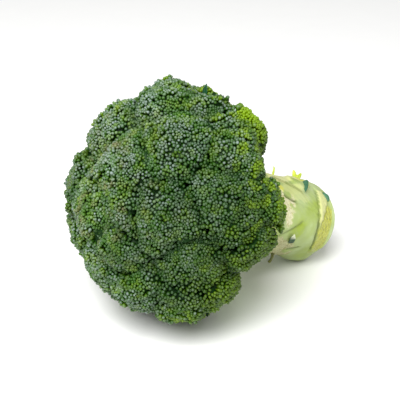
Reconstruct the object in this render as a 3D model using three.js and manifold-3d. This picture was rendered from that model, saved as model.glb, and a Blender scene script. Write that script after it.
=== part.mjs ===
// A head of broccoli, cut from its plant and lying on its side.
//
// One thick stalk ends in a rounded head, from which branches fork outwards. Each limb of a
// branch carries one floret: a stem that fans out under a dome of flower buds. Together the
// domes make the crown. The stalk still has the bases of trimmed leaves, and a few leaf scraps.
//
// Millimetres, +Z up, standing on Z = 0. The stalk points to +X and slopes down to its cut end,
// so the head lies on its lowest florets and on the leaf base under the stalk.
//
// Places on the head are given in its own frame, whose origin is the crown's centre and whose
// +Z is the crown's axis, away from the stalk. "Polar" is the angle from that axis, "turn" the
// angle about it from the upper side, and "along" a distance down the stalk from the centre.

import * as THREE from 'three';
import { mergeVertices } from 'three/addons/utils/BufferGeometryUtils.js';
import Module from 'manifold-3d';

const wasm = await Module();
wasm.setup();

// ---- Driving dimensions -------------------------------------------------------------------

const GAP = 0.3;                  // between touching pieces

const CENTRE_HEIGHT = 68;         // crown's centre above the surface it lies on
const STALK_SLOPE = 24;           // degrees below level

const STALK_RADIUS = 25;
const STALK_LENGTH = 110;         // crown's centre to the cut end
const STALK_END_RADIUS = 21;
const END_BEVEL = 5;              // how far the bevel around the cut end reaches
const END_BEVEL_RADIUS = 24;      // the stalk's radius where it starts
const END_TAPER = 14;             // how far from the cut end the stalk starts to narrow
const FORK_ALONG = 48;            // where every branch starts, inside the stalk's head
const STALK_HEAD_LENGTH = 28;     // from there to the head's tip

const LIMB_RADIUS = 5.5;          // at a floret's neck
const FORK_RADIUS = 7;
const TRUNK_RADIUS = 8.5;         // where a branch leaves the stalk's head
const TRUNK_REACH = 32;           // from the branches' start to the fork
const NECK_RADIUS = 6;            // a floret's narrow end
const NECK_DEPTH = 1.25;          // its distance behind the dome's centre, in dome radii
const NEIGHBOUR_ANGLE = 100;      // florets further apart than this never meet
const DOME_DROP = 35;             // degrees that a dome reaches below its widest ring

const ROUND_STEPS = 16;           // faces around a floret
const DOME_STEPS = 7;             // faces from the fan to the dome's top
const LIMB_STEPS = 8;
const STALK_STEPS = 36;
const LEAST_EDGE = 0.01;

const COLOURS = {
  buds: { color: 0x3f5a30, roughness: 0.75 },
  stems: { color: 0xa9c77a, roughness: 0.5 },
  stalk: { color: 0xb9d38c, roughness: 0.45 },
  leafBase: { color: 0xd2dc9a, roughness: 0.55 },
  leaf: { color: 0x2f5a45, roughness: 0.5 },
  youngLeaf: { color: 0xb6cf3a, roughness: 0.5 },
};

// Each branch lists its florets: name, polar, turn, reach (centre of the crown to the top of the
// dome) and dome radius.
const BRANCHES = {
  branch_top: [
    ['floret_top', 56, 5, 78, 26],
    ['floret_top_near', 62, -16, 75, 19],
    ['floret_rim_top', 84, 14, 70, 23],
  ],
  branch_shoulder: [
    ['floret_shoulder', 69, -29, 74, 22],
    ['floret_rim_shoulder', 80, -33, 73, 17],
    ['floret_rim_upper', 68, -49, 76, 22],
  ],
  branch_side: [
    ['floret_side_big', 64, -75, 77, 31],
    ['floret_rim_side', 84, -70, 72, 22],
  ],
  branch_lower_side: [
    ['floret_rim_lower', 80, -94, 74, 20],
    ['floret_lower_near', 58, -112, 75, 20],
  ],
  branch_bottom: [
    ['floret_bottom', 72, -142, 77, 26],
    ['floret_rim_bottom', 82, -127, 74, 18],
  ],
  branch_rest_near: [
    ['floret_rest_near', 94, -160, 74.5, 24],
  ],
  branch_lower: [
    ['floret_lower', 53, -155, 76, 24],
    ['floret_lower_far', 49, 176, 76, 23],
  ],
  branch_rest_far: [
    ['floret_rest_far', 86, 163, 76.5, 26],
  ],
  branch_far_lower: [
    ['floret_far_lower', 58, 139, 75, 28],
    ['floret_rim_far_lower', 84, 124, 72, 22],
  ],
  branch_far_side: [
    ['floret_far_side', 78, 87, 75, 27],
  ],
  branch_far_top: [
    ['floret_far_top', 66, 48, 70, 24],
    ['floret_rim_far_top', 88, 52, 69, 19],
  ],
  branch_upper_near: [
    ['floret_upper_near', 44, -36, 77, 29],
  ],
  branch_middle: [
    ['floret_middle', 37, -93, 76, 27],
  ],
  branch_apex: [
    ['floret_apex_upper', 15, -24, 75, 27],
    ['floret_apex_far', 17, 153, 75, 25],
    ['floret_apex_near', 20, -109, 74, 20],
  ],
  branch_apex_lower: [
    ['floret_apex_lower', 31, -148, 74, 23],
  ],
  branch_far_apex: [
    ['floret_far_apex', 37, 102, 75, 27],
  ],
  branch_top_far: [
    ['floret_top_far', 38, 39, 76, 25],
  ],
};

// Bases of trimmed leaves, raised on the stalk: along, turn, length, width, thickness, and the
// angle of the length from the stalk's own line.
const LEAF_BASES = {
  leaf_base_upper: { along: 72, turn: -36, length: 40, width: 17, thick: 1.8, slant: -24 },
  leaf_base_end: { along: 97, turn: -78, length: 34, width: 12, thick: 1.5, slant: 82 },
  leaf_base_under: { along: 90, turn: 180, length: 34, width: 26, thick: 5.2, slant: 0 },
};

// Scraps of leaf left on the stalk: along, turn, height above its skin, width, and the angle that
// the blade leans over towards the crown.
const LEAF_SCRAPS = {
  leaf_scrap_dark: { along: 86, turn: -9, height: 7, width: 5, lean: 25, kind: 'leaf' },
  leaf_scrap_end: { along: 98, turn: -34, height: 5, width: 5, lean: 30, kind: 'leaf' },
  leaf_scrap_front: { along: 71, turn: -107, height: 5, width: 4.5, lean: 20, kind: 'leaf' },
  leaf_scrap_young: { along: 88, turn: 9, height: 6, width: 6, lean: 10, kind: 'youngLeaf' },
};
const SCRAP_THICK = 0.9;

// A leaf tip that stands between two florets at the top of the crown.
const CROWN_LEAF = { polar: 69, turn: -7, reach: 72, height: 6, width: 4.5 };

// ---- Frame of the head --------------------------------------------------------------------

const rad = THREE.MathUtils.degToRad;
const CROWN_AXIS = new THREE.Vector3(0, 0, 1);
const FORK_START = new THREE.Vector3(0, 0, -FORK_ALONG);

// Straight up, as the head's own frame sees it.
const UP = new THREE.Vector3(Math.cos(rad(STALK_SLOPE)), 0, Math.sin(rad(STALK_SLOPE)));

function direction(polar, turn) {
  const ring = Math.sin(rad(polar));
  return new THREE.Vector3(
    ring * Math.cos(rad(turn)), ring * Math.sin(rad(turn)), Math.cos(rad(polar)));
}

// The turn that takes +Y, the axis of a lathe, to the given direction.
function alongY(target) {
  return new THREE.Matrix4().makeRotationFromQuaternion(
    new THREE.Quaternion().setFromUnitVectors(new THREE.Vector3(0, 1, 0), target));
}

// ---- Solids -------------------------------------------------------------------------------

function solidFrom(geometry) {
  const bare = geometry.clone();
  bare.deleteAttribute('normal');
  bare.deleteAttribute('uv');
  const merged = mergeVertices(bare, 1e-4);
  return new wasm.Manifold(new wasm.Mesh({
    numProp: 3,
    vertProperties: new Float32Array(merged.attributes.position.array),
    triVerts: new Uint32Array(merged.index.array),
  }));
}

// Corners closer than the least edge become one, and the slivers between them go.
function geometryFrom(solid) {
  const mesh = solid.getMesh();
  const raw = new THREE.BufferGeometry();
  raw.setAttribute('position', new THREE.BufferAttribute(mesh.vertProperties, 3));
  raw.setIndex(new THREE.BufferAttribute(mesh.triVerts, 1));
  const geometry = mergeVertices(raw, LEAST_EDGE);
  const corners = Array.from(geometry.index.array);
  const kept = [];
  for (let first = 0; first < corners.length; first += 3) {
    const [a, b, c] = corners.slice(first, first + 3);
    if (a !== b && b !== c && c !== a) {
      kept.push(a, b, c);
    }
  }
  geometry.setIndex(kept);
  geometry.computeVertexNormals();
  return geometry;
}

// The whole piece, without the slivers that a cut can leave beside it.
function largestOf(solid) {
  const bodies = solid.decompose();
  bodies.sort((one, other) => other.volume() - one.volume());
  return bodies[0];
}

// Keeps the side of the plane through a point that its normal points away from.
function cutAt(solid, point, normal, clearance) {
  const keep = normal.clone().negate();
  return solid.trimByPlane(keep.toArray(), keep.dot(point) + clearance);
}

// A round bar from one point to another, wider at its start.
function limb(from, to, startRadius, endRadius) {
  const span = to.clone().sub(from);
  const length = span.length();
  const bar = new THREE.CylinderGeometry(endRadius, startRadius, length, LIMB_STEPS);
  bar.applyMatrix4(alongY(span.normalize()));
  bar.translate(...from.clone().add(to).multiplyScalar(0.5).toArray());
  return solidFrom(bar);
}

// ---- Stalk --------------------------------------------------------------------------------

// The stalk's outline, from the cut end to the tip of its head, grown by a clearance.
function stalkOutline(clearance) {
  const points = [
    new THREE.Vector2(0, -STALK_LENGTH - clearance),
    new THREE.Vector2(STALK_END_RADIUS + clearance, -STALK_LENGTH - clearance),
    new THREE.Vector2(END_BEVEL_RADIUS + clearance, -STALK_LENGTH + END_BEVEL),
    new THREE.Vector2(STALK_RADIUS + clearance, -STALK_LENGTH + END_TAPER),
  ];
  const quarter = Math.PI / 2;
  const steps = 6;
  for (let step = 0; step < steps; step += 1) {
    const angle = quarter * step / steps;
    points.push(new THREE.Vector2(
      (STALK_RADIUS + clearance) * Math.cos(angle),
      -FORK_ALONG + (STALK_HEAD_LENGTH + clearance) * Math.sin(angle)));
  }
  points.push(new THREE.Vector2(0, -FORK_ALONG + STALK_HEAD_LENGTH + clearance));
  return points;
}

function stalkSolid(clearance) {
  const lathe = new THREE.LatheGeometry(stalkOutline(clearance), STALK_STEPS);
  lathe.applyMatrix4(alongY(CROWN_AXIS));
  return solidFrom(lathe);
}

// The point on the stalk's skin, and the frame there: out of the skin, towards the crown, and
// across.
function onStalk(along, turn) {
  const out = direction(90, turn);
  const point = out.clone().multiplyScalar(STALK_RADIUS).setZ(-along);
  const across = new THREE.Vector3().crossVectors(CROWN_AXIS, out);
  return { point, out, across };
}

// A raised patch of the stalk's skin with an oval outline.
function leafBaseSolid({ along, turn, length, width, thick, slant }) {
  const outline = new THREE.Shape();
  outline.absellipse(0, 0, width / 2, length / 2, 0, 2 * Math.PI, false, rad(slant));
  const depth = STALK_RADIUS;
  const prism = new THREE.ExtrudeGeometry(
    outline, { depth, bevelEnabled: false, curveSegments: 10 });
  const { point, out, across } = onStalk(along, turn);
  prism.translate(0, 0, -depth / 2);
  prism.applyMatrix4(new THREE.Matrix4().makeBasis(across, CROWN_AXIS, out));
  prism.translate(...point.toArray());
  const shell = stalkSolid(GAP + thick).subtract(stalkSolid(GAP));
  return shell.intersect(solidFrom(prism));
}

// A small pointed blade, 0.9 mm thick, that stands on its cut foot.
function bladeSolid(foot, rise, across, height, width) {
  const half = width / 2;
  const outline = new THREE.Shape();
  outline.moveTo(-half * 0.5, 0);
  outline.lineTo(half * 0.5, 0);
  outline.quadraticCurveTo(half * 1.4, height * 0.5, 0, height);
  outline.quadraticCurveTo(-half * 1.4, height * 0.5, -half * 0.5, 0);
  const blade = new THREE.ExtrudeGeometry(
    outline, { depth: SCRAP_THICK, bevelEnabled: false, curveSegments: 4 });
  const face = new THREE.Vector3().crossVectors(across, rise);
  blade.translate(0, 0, -SCRAP_THICK / 2);
  blade.applyMatrix4(new THREE.Matrix4().makeBasis(across, rise, face));
  blade.translate(...foot.toArray());
  return solidFrom(blade);
}

function scrapSolid({ along, turn, height, width, lean }) {
  const { point, out, across } = onStalk(along, turn);
  const lift = GAP + SCRAP_THICK * Math.sin(rad(lean));
  const foot = point.clone().addScaledVector(out, lift);
  const rise = out.clone().applyAxisAngle(across, rad(lean));
  return bladeSolid(foot, rise, across, height, width);
}

// ---- Florets ------------------------------------------------------------------------------

function readFloret([name, polar, turn, reach, radius]) {
  const centre = direction(polar, turn).multiplyScalar(reach - radius);
  const axis = centre.clone().sub(FORK_START).normalize();
  const distance = centre.distanceTo(FORK_START);
  const neck = centre.clone().addScaledVector(axis, -NECK_DEPTH * radius);
  return { name, centre, axis, distance, radius, neck };
}

// Half the angle that a floret's dome fills, seen from where the branches start.
function spread(floret) {
  return Math.asin(Math.min(floret.radius / floret.distance, 1));
}

// The plane between two florets. It runs through the start of the branches, so one plane parts
// their domes, their stems and their limbs. Where the domes meet it follows the crease.
function planeBetween(one, other) {
  const across = new THREE.Vector3().crossVectors(one.axis, other.axis).normalize();
  const apart = one.centre.distanceTo(other.centre);
  const between = one.axis.clone();
  if (apart < one.radius + other.radius) {
    const line = other.centre.clone().sub(one.centre).normalize();
    const step = (apart ** 2 + one.radius ** 2 - other.radius ** 2) / (2 * apart);
    const ring = Math.sqrt(Math.max(one.radius ** 2 - step ** 2, 0));
    const outward = new THREE.Vector3().crossVectors(line, across);
    const crease = one.centre.clone().addScaledVector(line, step).addScaledVector(outward, ring);
    between.copy(crease).sub(FORK_START).normalize();
  } else {
    const share = spread(one) / (spread(one) + spread(other));
    between.applyAxisAngle(across, one.axis.angleTo(other.axis) * share);
  }
  return new THREE.Vector3().crossVectors(across, between).normalize();
}

// Cuts a piece of one floret's share of the crown clear of the shares of others.
function cutFromNeighbours(solid, floret, others, clearance) {
  let cut = solid;
  for (const other of others) {
    if (other !== floret && floret.axis.angleTo(other.axis) < rad(NEIGHBOUR_ANGLE)) {
      cut = cutAt(cut, FORK_START, planeBetween(floret, other), clearance);
    }
  }
  return cut;
}

// A dome on a fan that narrows to the neck, grown all over by the given amount.
function floretSolid(floret, others, grown) {
  const radius = floret.radius + grown;
  const depth = NECK_DEPTH * floret.radius + grown;
  const outline = [
    new THREE.Vector2(0, -depth),
    new THREE.Vector2(NECK_RADIUS + grown, -depth),
  ];
  const lowest = -rad(DOME_DROP);
  for (let step = 0; step < DOME_STEPS; step += 1) {
    const angle = lowest + (Math.PI / 2 - lowest) * step / DOME_STEPS;
    outline.push(new THREE.Vector2(radius * Math.cos(angle), radius * Math.sin(angle)));
  }
  outline.push(new THREE.Vector2(0, radius));
  const lathe = new THREE.LatheGeometry(outline, ROUND_STEPS);
  lathe.applyMatrix4(alongY(floret.axis));
  lathe.translate(...floret.centre.toArray());
  return cutFromNeighbours(solidFrom(lathe), floret, others, GAP / 2 - grown);
}

// A branch out of the stalk's head: a trunk, forked into one limb for each of its florets.
function branchSolid(florets, allFlorets) {
  const mean = new THREE.Vector3();
  for (const floret of florets) {
    mean.add(floret.axis);
  }
  mean.normalize();
  const fork = FORK_START.clone().addScaledVector(mean, TRUNK_REACH);
  const insideTrunk = fork.clone().addScaledVector(mean, -FORK_RADIUS / 2);
  let branch = limb(FORK_START, fork, TRUNK_RADIUS, FORK_RADIUS);
  for (const floret of florets) {
    branch = branch.add(limb(insideTrunk, floret.neck, FORK_RADIUS - GAP, LIMB_RADIUS));
  }
  branch = branch.subtract(stalkSolid(GAP));
  const strangers = allFlorets.filter((floret) => !florets.includes(floret));
  for (const floret of florets) {
    branch = cutFromNeighbours(branch, floret, strangers, GAP / 2);
    branch = branch.subtract(floretSolid(floret, allFlorets, GAP));
  }
  return branch;
}

// ---- The head -----------------------------------------------------------------------------

const head = new THREE.Group();
head.rotation.y = -(Math.PI / 2 - rad(STALK_SLOPE));
head.position.z = CENTRE_HEIGHT;

function addPiece(name, solid, look) {
  const { color, roughness } = COLOURS[look];
  const material = new THREE.MeshStandardMaterial({ color, roughness, metalness: 0 });
  const mesh = new THREE.Mesh(geometryFrom(largestOf(solid)), material);
  mesh.name = name;
  head.add(mesh);
}

// Cuts a piece level with the surface that the head lies on.
function restOnSurface(solid) {
  return cutAt(solid, UP.clone().multiplyScalar(-CENTRE_HEIGHT), UP.clone().negate(), 0);
}

addPiece('stalk', stalkSolid(0), 'stalk');

const branches = Object.entries(BRANCHES).map(
  ([name, rows]) => ({ name, florets: rows.map(readFloret) }));
const allFlorets = branches.flatMap(({ florets }) => florets);

for (const { name, florets } of branches) {
  addPiece(name, branchSolid(florets, allFlorets), 'stems');
  for (const floret of florets) {
    addPiece(floret.name, restOnSurface(floretSolid(floret, allFlorets, 0)), 'buds');
  }
}

for (const [name, place] of Object.entries(LEAF_BASES)) {
  addPiece(name, restOnSurface(leafBaseSolid(place)), 'leafBase');
}
for (const [name, place] of Object.entries(LEAF_SCRAPS)) {
  addPiece(name, scrapSolid(place), place.kind);
}

const tipOut = direction(CROWN_LEAF.polar, CROWN_LEAF.turn);
const tipAcross = new THREE.Vector3().crossVectors(CROWN_AXIS, tipOut).normalize();
const tipFoot = tipOut.clone().multiplyScalar(CROWN_LEAF.reach);
addPiece('leaf_tip_crown',
  bladeSolid(tipFoot, tipOut, tipAcross, CROWN_LEAF.height, CROWN_LEAF.width), 'leaf');

// The origin is the middle of the whole head's footprint box.
const broccoli = new THREE.Group();
broccoli.add(head);
broccoli.updateMatrixWorld(true);
const middle = new THREE.Box3().setFromObject(broccoli, true).getCenter(new THREE.Vector3());
head.position.x = -middle.x;
head.position.y = -middle.y;

export default broccoli;
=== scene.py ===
# A head of broccoli, lying on its side: its looks, built around the imported pieces.
#
# Every floret is a dome of flower buds on stems that fan out from its neck. The buds stand in
# rosettes, each with young yellow-green buds at its middle, and their tops are blue-grey, partly
# from the waxy bloom and partly from a painted highlight. Painted shade darkens the buds in the
# valleys and away from the lit upper side. The branches and the stalk are pale green skin under the
# same bloom. The stalk has scars, folds and scraps of the leaves that were trimmed from it, with
# painted light on its upper side and painted shade on its lower side.
#
# Sizes are metres. Places on the head are given as a polar angle from the crown's axis, a turn
# about it from the upper side, and a distance down the stalk from the crown's centre.

import math

import bpy
import numpy as np
from bpy.props import FloatProperty, FloatVectorProperty, PointerProperty
from mathutils import Matrix, Vector


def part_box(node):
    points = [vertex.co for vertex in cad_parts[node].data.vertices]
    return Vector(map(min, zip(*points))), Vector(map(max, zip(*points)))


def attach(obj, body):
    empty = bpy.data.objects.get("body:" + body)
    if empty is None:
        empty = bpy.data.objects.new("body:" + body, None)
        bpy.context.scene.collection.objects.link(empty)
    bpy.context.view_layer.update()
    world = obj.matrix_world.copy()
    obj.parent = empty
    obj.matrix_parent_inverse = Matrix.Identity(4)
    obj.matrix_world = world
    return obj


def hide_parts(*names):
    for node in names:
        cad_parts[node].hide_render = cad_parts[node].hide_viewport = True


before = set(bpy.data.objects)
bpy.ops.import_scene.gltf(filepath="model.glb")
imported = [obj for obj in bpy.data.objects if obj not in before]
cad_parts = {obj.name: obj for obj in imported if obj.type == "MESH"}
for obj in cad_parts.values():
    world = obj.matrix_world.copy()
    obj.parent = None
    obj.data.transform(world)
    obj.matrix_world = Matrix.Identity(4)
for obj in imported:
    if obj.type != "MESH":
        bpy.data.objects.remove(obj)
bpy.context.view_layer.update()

bl_info = {
    "name": "Broccoli head",
    "version": (1, 0, 0),
    "blender": (4, 5, 0),
    "location": "3D View > Sidebar > Broccoli",
    "description": "Builds the buds, stems, stalk and leaf scraps of a head of broccoli",
    "category": "Object",
}

MM = 0.001

# ---- Frame of the head --------------------------------------------------------------------

STALK_SLOPE = math.radians(24)
CROWN_AXIS = np.array([-math.cos(STALK_SLOPE), 0, math.sin(STALK_SLOPE)])
UPPER_SIDE = np.array([math.sin(STALK_SLOPE), 0, math.cos(STALK_SLOPE)])
FAR_SIDE = np.array([0.0, 1.0, 0.0])

TIP_ALONG = 20 * MM       # crown's centre to the tip of the stalk's head
FORK_ALONG = 48 * MM      # to where every branch starts, inside it
STALK_LENGTH = 110 * MM   # to the cut end
STALK_RADIUS = 25 * MM

NECK_RADIUS = 6 * MM      # a floret's narrow end
NECK_DEPTH = 1.25         # its distance behind the dome's centre, in dome radii
DOME_DROP = math.radians(35)  # how far a dome reaches below its widest ring

# Which florets stand on each branch.
BRANCHES = {
    "branch_top": ("floret_top", "floret_top_near", "floret_rim_top"),
    "branch_shoulder": ("floret_shoulder", "floret_rim_shoulder", "floret_rim_upper"),
    "branch_side": ("floret_side_big", "floret_rim_side"),
    "branch_lower_side": ("floret_rim_lower", "floret_lower_near"),
    "branch_bottom": ("floret_bottom", "floret_rim_bottom"),
    "branch_rest_near": ("floret_rest_near",),
    "branch_lower": ("floret_lower", "floret_lower_far"),
    "branch_rest_far": ("floret_rest_far",),
    "branch_far_lower": ("floret_far_lower", "floret_rim_far_lower"),
    "branch_far_side": ("floret_far_side",),
    "branch_far_top": ("floret_far_top", "floret_rim_far_top"),
    "branch_upper_near": ("floret_upper_near",),
    "branch_middle": ("floret_middle",),
    "branch_apex": ("floret_apex_upper", "floret_apex_far", "floret_apex_near"),
    "branch_apex_lower": ("floret_apex_lower",),
    "branch_far_apex": ("floret_far_apex",),
    "branch_top_far": ("floret_top_far",),
}

# How yellow a floret's buds are as a whole. Those at the rim are younger.
YELLOW_FLORETS = {
    "floret_rim_top": 0.15,
    "floret_rim_shoulder": 0.12,
    "floret_rim_far_top": 0.2,
    "floret_rim_bottom": 0.1,
    "floret_rim_lower": 0.1,
    "floret_bottom": 0.04,
    "floret_rest_near": 0.08,
}


def node_points(node):
    """The corners of a CAD node's mesh."""
    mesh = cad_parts[node].data
    points = np.empty(len(mesh.vertices) * 3)
    mesh.vertices.foreach_get("co", points)
    return points.reshape(-1, 3)


def crown_centre():
    """The stalk's head ends in a tip on the crown's axis, a known way below the centre."""
    points = node_points("stalk")
    tip = points[np.argmax(points @ CROWN_AXIS)]
    return tip + TIP_ALONG * CROWN_AXIS


CENTRE = crown_centre()
FORK_START = CENTRE - FORK_ALONG * CROWN_AXIS


def turned(angles, first, second):
    """Directions turned by each angle, in radians, from the first towards the second."""
    return np.cos(angles)[..., None] * first + np.sin(angles)[..., None] * second


def direction(polar, turn):
    """Unit vectors for a polar angle and a turn, in radians."""
    polar, turn = np.broadcast_arrays(np.asarray(polar, float), np.asarray(turn, float))
    return np.sin(polar)[..., None] * turned(turn, UPPER_SIDE, FAR_SIDE) + (
        np.cos(polar)[..., None] * CROWN_AXIS)


# ---- Numbers ------------------------------------------------------------------------------

FULL_TURN = 2 * math.pi
GOLDEN_ANGLE = math.pi * (3 - math.sqrt(5))


def angles_between(ways, others):
    """Angles between unit vectors and others, in radians."""
    return np.arccos(np.clip(ways @ others, -1, 1))


def unit(vectors):
    """The vectors, each made one long."""
    return vectors / np.linalg.norm(vectors, axis=-1, keepdims=True)


def fade(distance, width):
    """1 at no distance, fading smoothly over about the width."""
    return np.exp(-(distance / width) ** 2)


def around_places(points, places):
    """The sum of soft spots on the crown, each a polar angle, turn, half-width and amount."""
    outward = unit(points - CENTRE)
    total = np.zeros(len(points))
    for polar, turn, width, amount in places:
        middle = direction(math.radians(polar), math.radians(turn))
        total += amount * fade(np.degrees(angles_between(outward, middle)), width)
    return total


def smooth_step(low, high, value):
    """0 at the low value and below, 1 at the high one and above, and smooth between them."""
    share = np.clip((value - low) / (high - low), 0, 1)
    return share * share * (3 - 2 * share)


def seed_of(name):
    """A seed made from a name, the same in each run."""
    return sum((place + 1) * ord(letter) for place, letter in enumerate(name))


def ripple(points, size, seed, waves=9):
    """A smooth random field, mostly between -1 and 1, whose bumps are about one size across."""
    draw = np.random.default_rng(seed)
    total = np.zeros(points.shape[:-1])
    for _ in range(waves):
        way = unit(draw.normal(size=3)) * draw.uniform(0.7, 1.5) * math.pi / size
        total += np.sin(points @ way + draw.uniform(0, FULL_TURN))
    return total / math.sqrt(waves / 2) * 0.7


def frames_on(normals, spins):
    """For each normal, three rows: two directions across it, turned by the spin, and itself."""
    upright = np.abs(normals[:, 2:]) < 0.9
    helper = np.where(upright, np.array([0, 0, 1.0]), np.array([1.0, 0, 0]))
    side = unit(np.cross(helper, normals))
    other = np.cross(normals, side)
    return np.stack([turned(spins, side, other), turned(spins, other, -side), normals], axis=1)


def curve_through(points, steps):
    """Points on a smooth curve through the given ones."""
    points = np.asarray(points, float)
    ends = np.vstack([2 * points[0] - points[1], points, 2 * points[-1] - points[-2]])
    places = np.linspace(0, len(points) - 1, steps)
    spans = np.minimum(places.astype(int), len(points) - 2)
    t = (places - spans)[:, None]
    p0, p1, p2, p3 = (ends[spans + k] for k in range(4))
    return 0.5 * (2 * p1 + (p2 - p0) * t + (2 * p0 - 5 * p1 + 4 * p2 - p3) * t ** 2
                  + (3 * p1 - p0 - 3 * p2 + p3) * t ** 3)


# ---- Shapes -------------------------------------------------------------------------------


class Shape:
    """Triangles with a place for each corner on the unit map, and values at their points."""

    def __init__(self, points, faces, places, material=0, **values):
        self.points = np.asarray(points, float)
        self.faces = np.asarray(faces, int)
        self.places = np.asarray(places, float)
        self.material = np.full(len(self.faces), material)
        self.values = {
            name: np.broadcast_to(np.asarray(value, float), len(self.points)).copy()
            for name, value in values.items()}

    def moved_on_map(self, left, low, right, high):
        """The same shape, with its map in one part of the whole map."""
        corner, size = np.array([left, low]), np.array([right - left, high - low])
        self.places = corner + self.places * size
        return self


def joined(shapes):
    """One shape from several. A value that one of them lacks is 0 there."""
    names = sorted({name for shape in shapes for name in shape.values})
    starts = np.cumsum([0] + [len(shape.points) for shape in shapes[:-1]])
    whole = Shape(
        np.vstack([shape.points for shape in shapes]),
        np.vstack([shape.faces + start for shape, start in zip(shapes, starts)]),
        np.concatenate([shape.places for shape in shapes]))
    whole.material = np.concatenate([shape.material for shape in shapes])
    whole.values = {
        name: np.concatenate(
            [shape.values.get(name, np.zeros(len(shape.points))) for shape in shapes])
        for name in names}
    return whole


CELL_EDGE = 0.04    # of a cell of the map, kept free on each of its sides


def in_grid(shapes, left, low, right, high):
    """Gives each of the shapes its own cell of one part of the map."""
    columns = max(1, math.ceil(math.sqrt(len(shapes) * (right - left) / (high - low))))
    rows = max(1, math.ceil(len(shapes) / columns))
    wide, tall = (right - left) / columns, (high - low) / rows
    for place, shape in enumerate(shapes):
        row, column = divmod(place, columns)
        x, y = left + column * wide, low + row * tall
        shape.moved_on_map(
            x + CELL_EDGE * wide, y + CELL_EDGE * tall,
            x + (1 - CELL_EDGE) * wide, y + (1 - CELL_EDGE) * tall)
    return shapes


CAP_SHARE = 0.14    # of the map, above the sides, for the two ends of a tube
CAP_GAP = 0.02      # of the map, between the sides and the ends
CAP_FILL = 0.45     # radius of an end on the map, in cap shares


def corners_on_map(*pairs):
    """One place on the map for each corner of many triangles, from pairs of coordinates."""
    return np.stack([np.stack(np.broadcast_arrays(*pair), -1) for pair in pairs], 1)


def cells(rows, columns):
    """Each cell of a grid that closes on itself: four corners, row, left and right on the map."""
    row, step = np.meshgrid(np.arange(rows - 1), np.arange(columns), indexing="ij")
    row, step = row.ravel(), step.ravel()
    a, b = row * columns + step, row * columns + (step + 1) % columns
    return (a, b, a + columns, b + columns), row, step / columns, (step + 1) / columns


def circle_of(turns):
    """Points on a circle of radius 1, one at each turn."""
    return np.stack([np.cos(turns), np.sin(turns)], 1)


def tube(rings, material=0, **values):
    """A closed tube through rings of points, whose map has the sides below and the ends above."""
    rings = np.asarray(rings, float)
    count, around = rings.shape[:2]
    points = np.vstack([rings.reshape(-1, 3), rings[0].mean(0), rings[-1].mean(0)])
    (a, b, c, d), row, x0, x1 = cells(count, around)
    side_height = 1 - CAP_SHARE - CAP_GAP
    y0, y1 = row / (count - 1) * side_height, (row + 1) / (count - 1) * side_height
    faces = [np.stack([a, b, d], 1), np.stack([a, d, c], 1)]
    places = [
        corners_on_map((x0, y0), (x1, y0), (x1, y1)),
        corners_on_map((x0, y0), (x1, y1), (x0, y1))]
    circle = circle_of(FULL_TURN * np.arange(around + 1) / around) * CAP_SHARE * CAP_FILL
    step = np.arange(around)
    for end, (first, hub, middle) in enumerate((
            (0, count * around, CAP_SHARE / 2),
            ((count - 1) * around, count * around + 1, 1 - CAP_SHARE / 2))):
        here, there = first + step, first + (step + 1) % around
        centre = np.array([middle, 1 - CAP_SHARE / 2])
        one, two = (there, here) if end == 0 else (here, there)
        faces.append(np.stack([np.full(around, hub), one, two], 1))
        low, high = (1, 0) if end == 0 else (0, 1)
        places.append(np.stack([
            np.broadcast_to(centre, (around, 2)),
            centre + circle[step + low], centre + circle[step + high]], 1))
    return Shape(points, np.vstack(faces), np.concatenate(places), material, **values)


def round_tube(path, radii, sides, material=0, **values):
    """A tube of the given radii along a path of points."""
    path = np.asarray(path, float)
    radii = np.broadcast_to(np.asarray(radii, float), len(path))
    along = unit(np.gradient(path, axis=0))
    side = frames_on(along[:1], np.zeros(1))[0, 0]
    turns = FULL_TURN * np.arange(sides) / sides
    rings = []
    for place, way, radius in zip(path, along, radii):
        side = unit(side - (side @ way) * way)
        rings.append(place + radius * turned(turns, side, np.cross(way, side)))
    return tube(rings, material, **values)


def piece_from(shape, name, materials, slot, *replaced):
    """Makes the object, rides it on the frame and hides the CAD nodes that it stands for."""
    shape.points[:, 2] = np.maximum(shape.points[:, 2], 0)
    mesh = bpy.data.meshes.new(name)
    mesh.vertices.add(len(shape.points))
    mesh.vertices.foreach_set("co", shape.points.ravel())
    mesh.loops.add(shape.faces.size)
    mesh.polygons.add(len(shape.faces))
    mesh.polygons.foreach_set("loop_start", np.arange(0, shape.faces.size, 3))
    mesh.polygons.foreach_set("vertices", shape.faces.ravel())
    mesh.polygons.foreach_set("material_index", shape.material)
    mesh.update(calc_edges=True)
    mesh.shade_smooth()
    bake_map = mesh.uv_layers.new(name="OFBake")
    bake_map.data.foreach_set("uv", shape.places.ravel())
    for value_name, values in shape.values.items():
        attribute = mesh.attributes.new(value_name, "FLOAT", "POINT")
        attribute.data.foreach_set("value", values)
    for material in materials:
        mesh.materials.append(material)
    piece = bpy.data.objects.new(name, mesh)
    bpy.context.scene.collection.objects.link(piece)
    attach(piece, "root")
    if replaced:
        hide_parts(*replaced)
    return piece


# ---- Settings -----------------------------------------------------------------------------


def colour_setting(name, description, *colour):
    """A colour that a user can change."""
    return FloatVectorProperty(
        name=name, description=description, subtype="COLOR", size=4, min=0, max=1,
        default=(*colour, 1))


def length_setting(name, description, default, low, high):
    """A length that a user can change, with its limits."""
    return FloatProperty(
        name=name, description=description, default=default, min=low, max=high,
        subtype="DISTANCE", unit="LENGTH")


# ---- Materials ----------------------------------------------------------------------------


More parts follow.
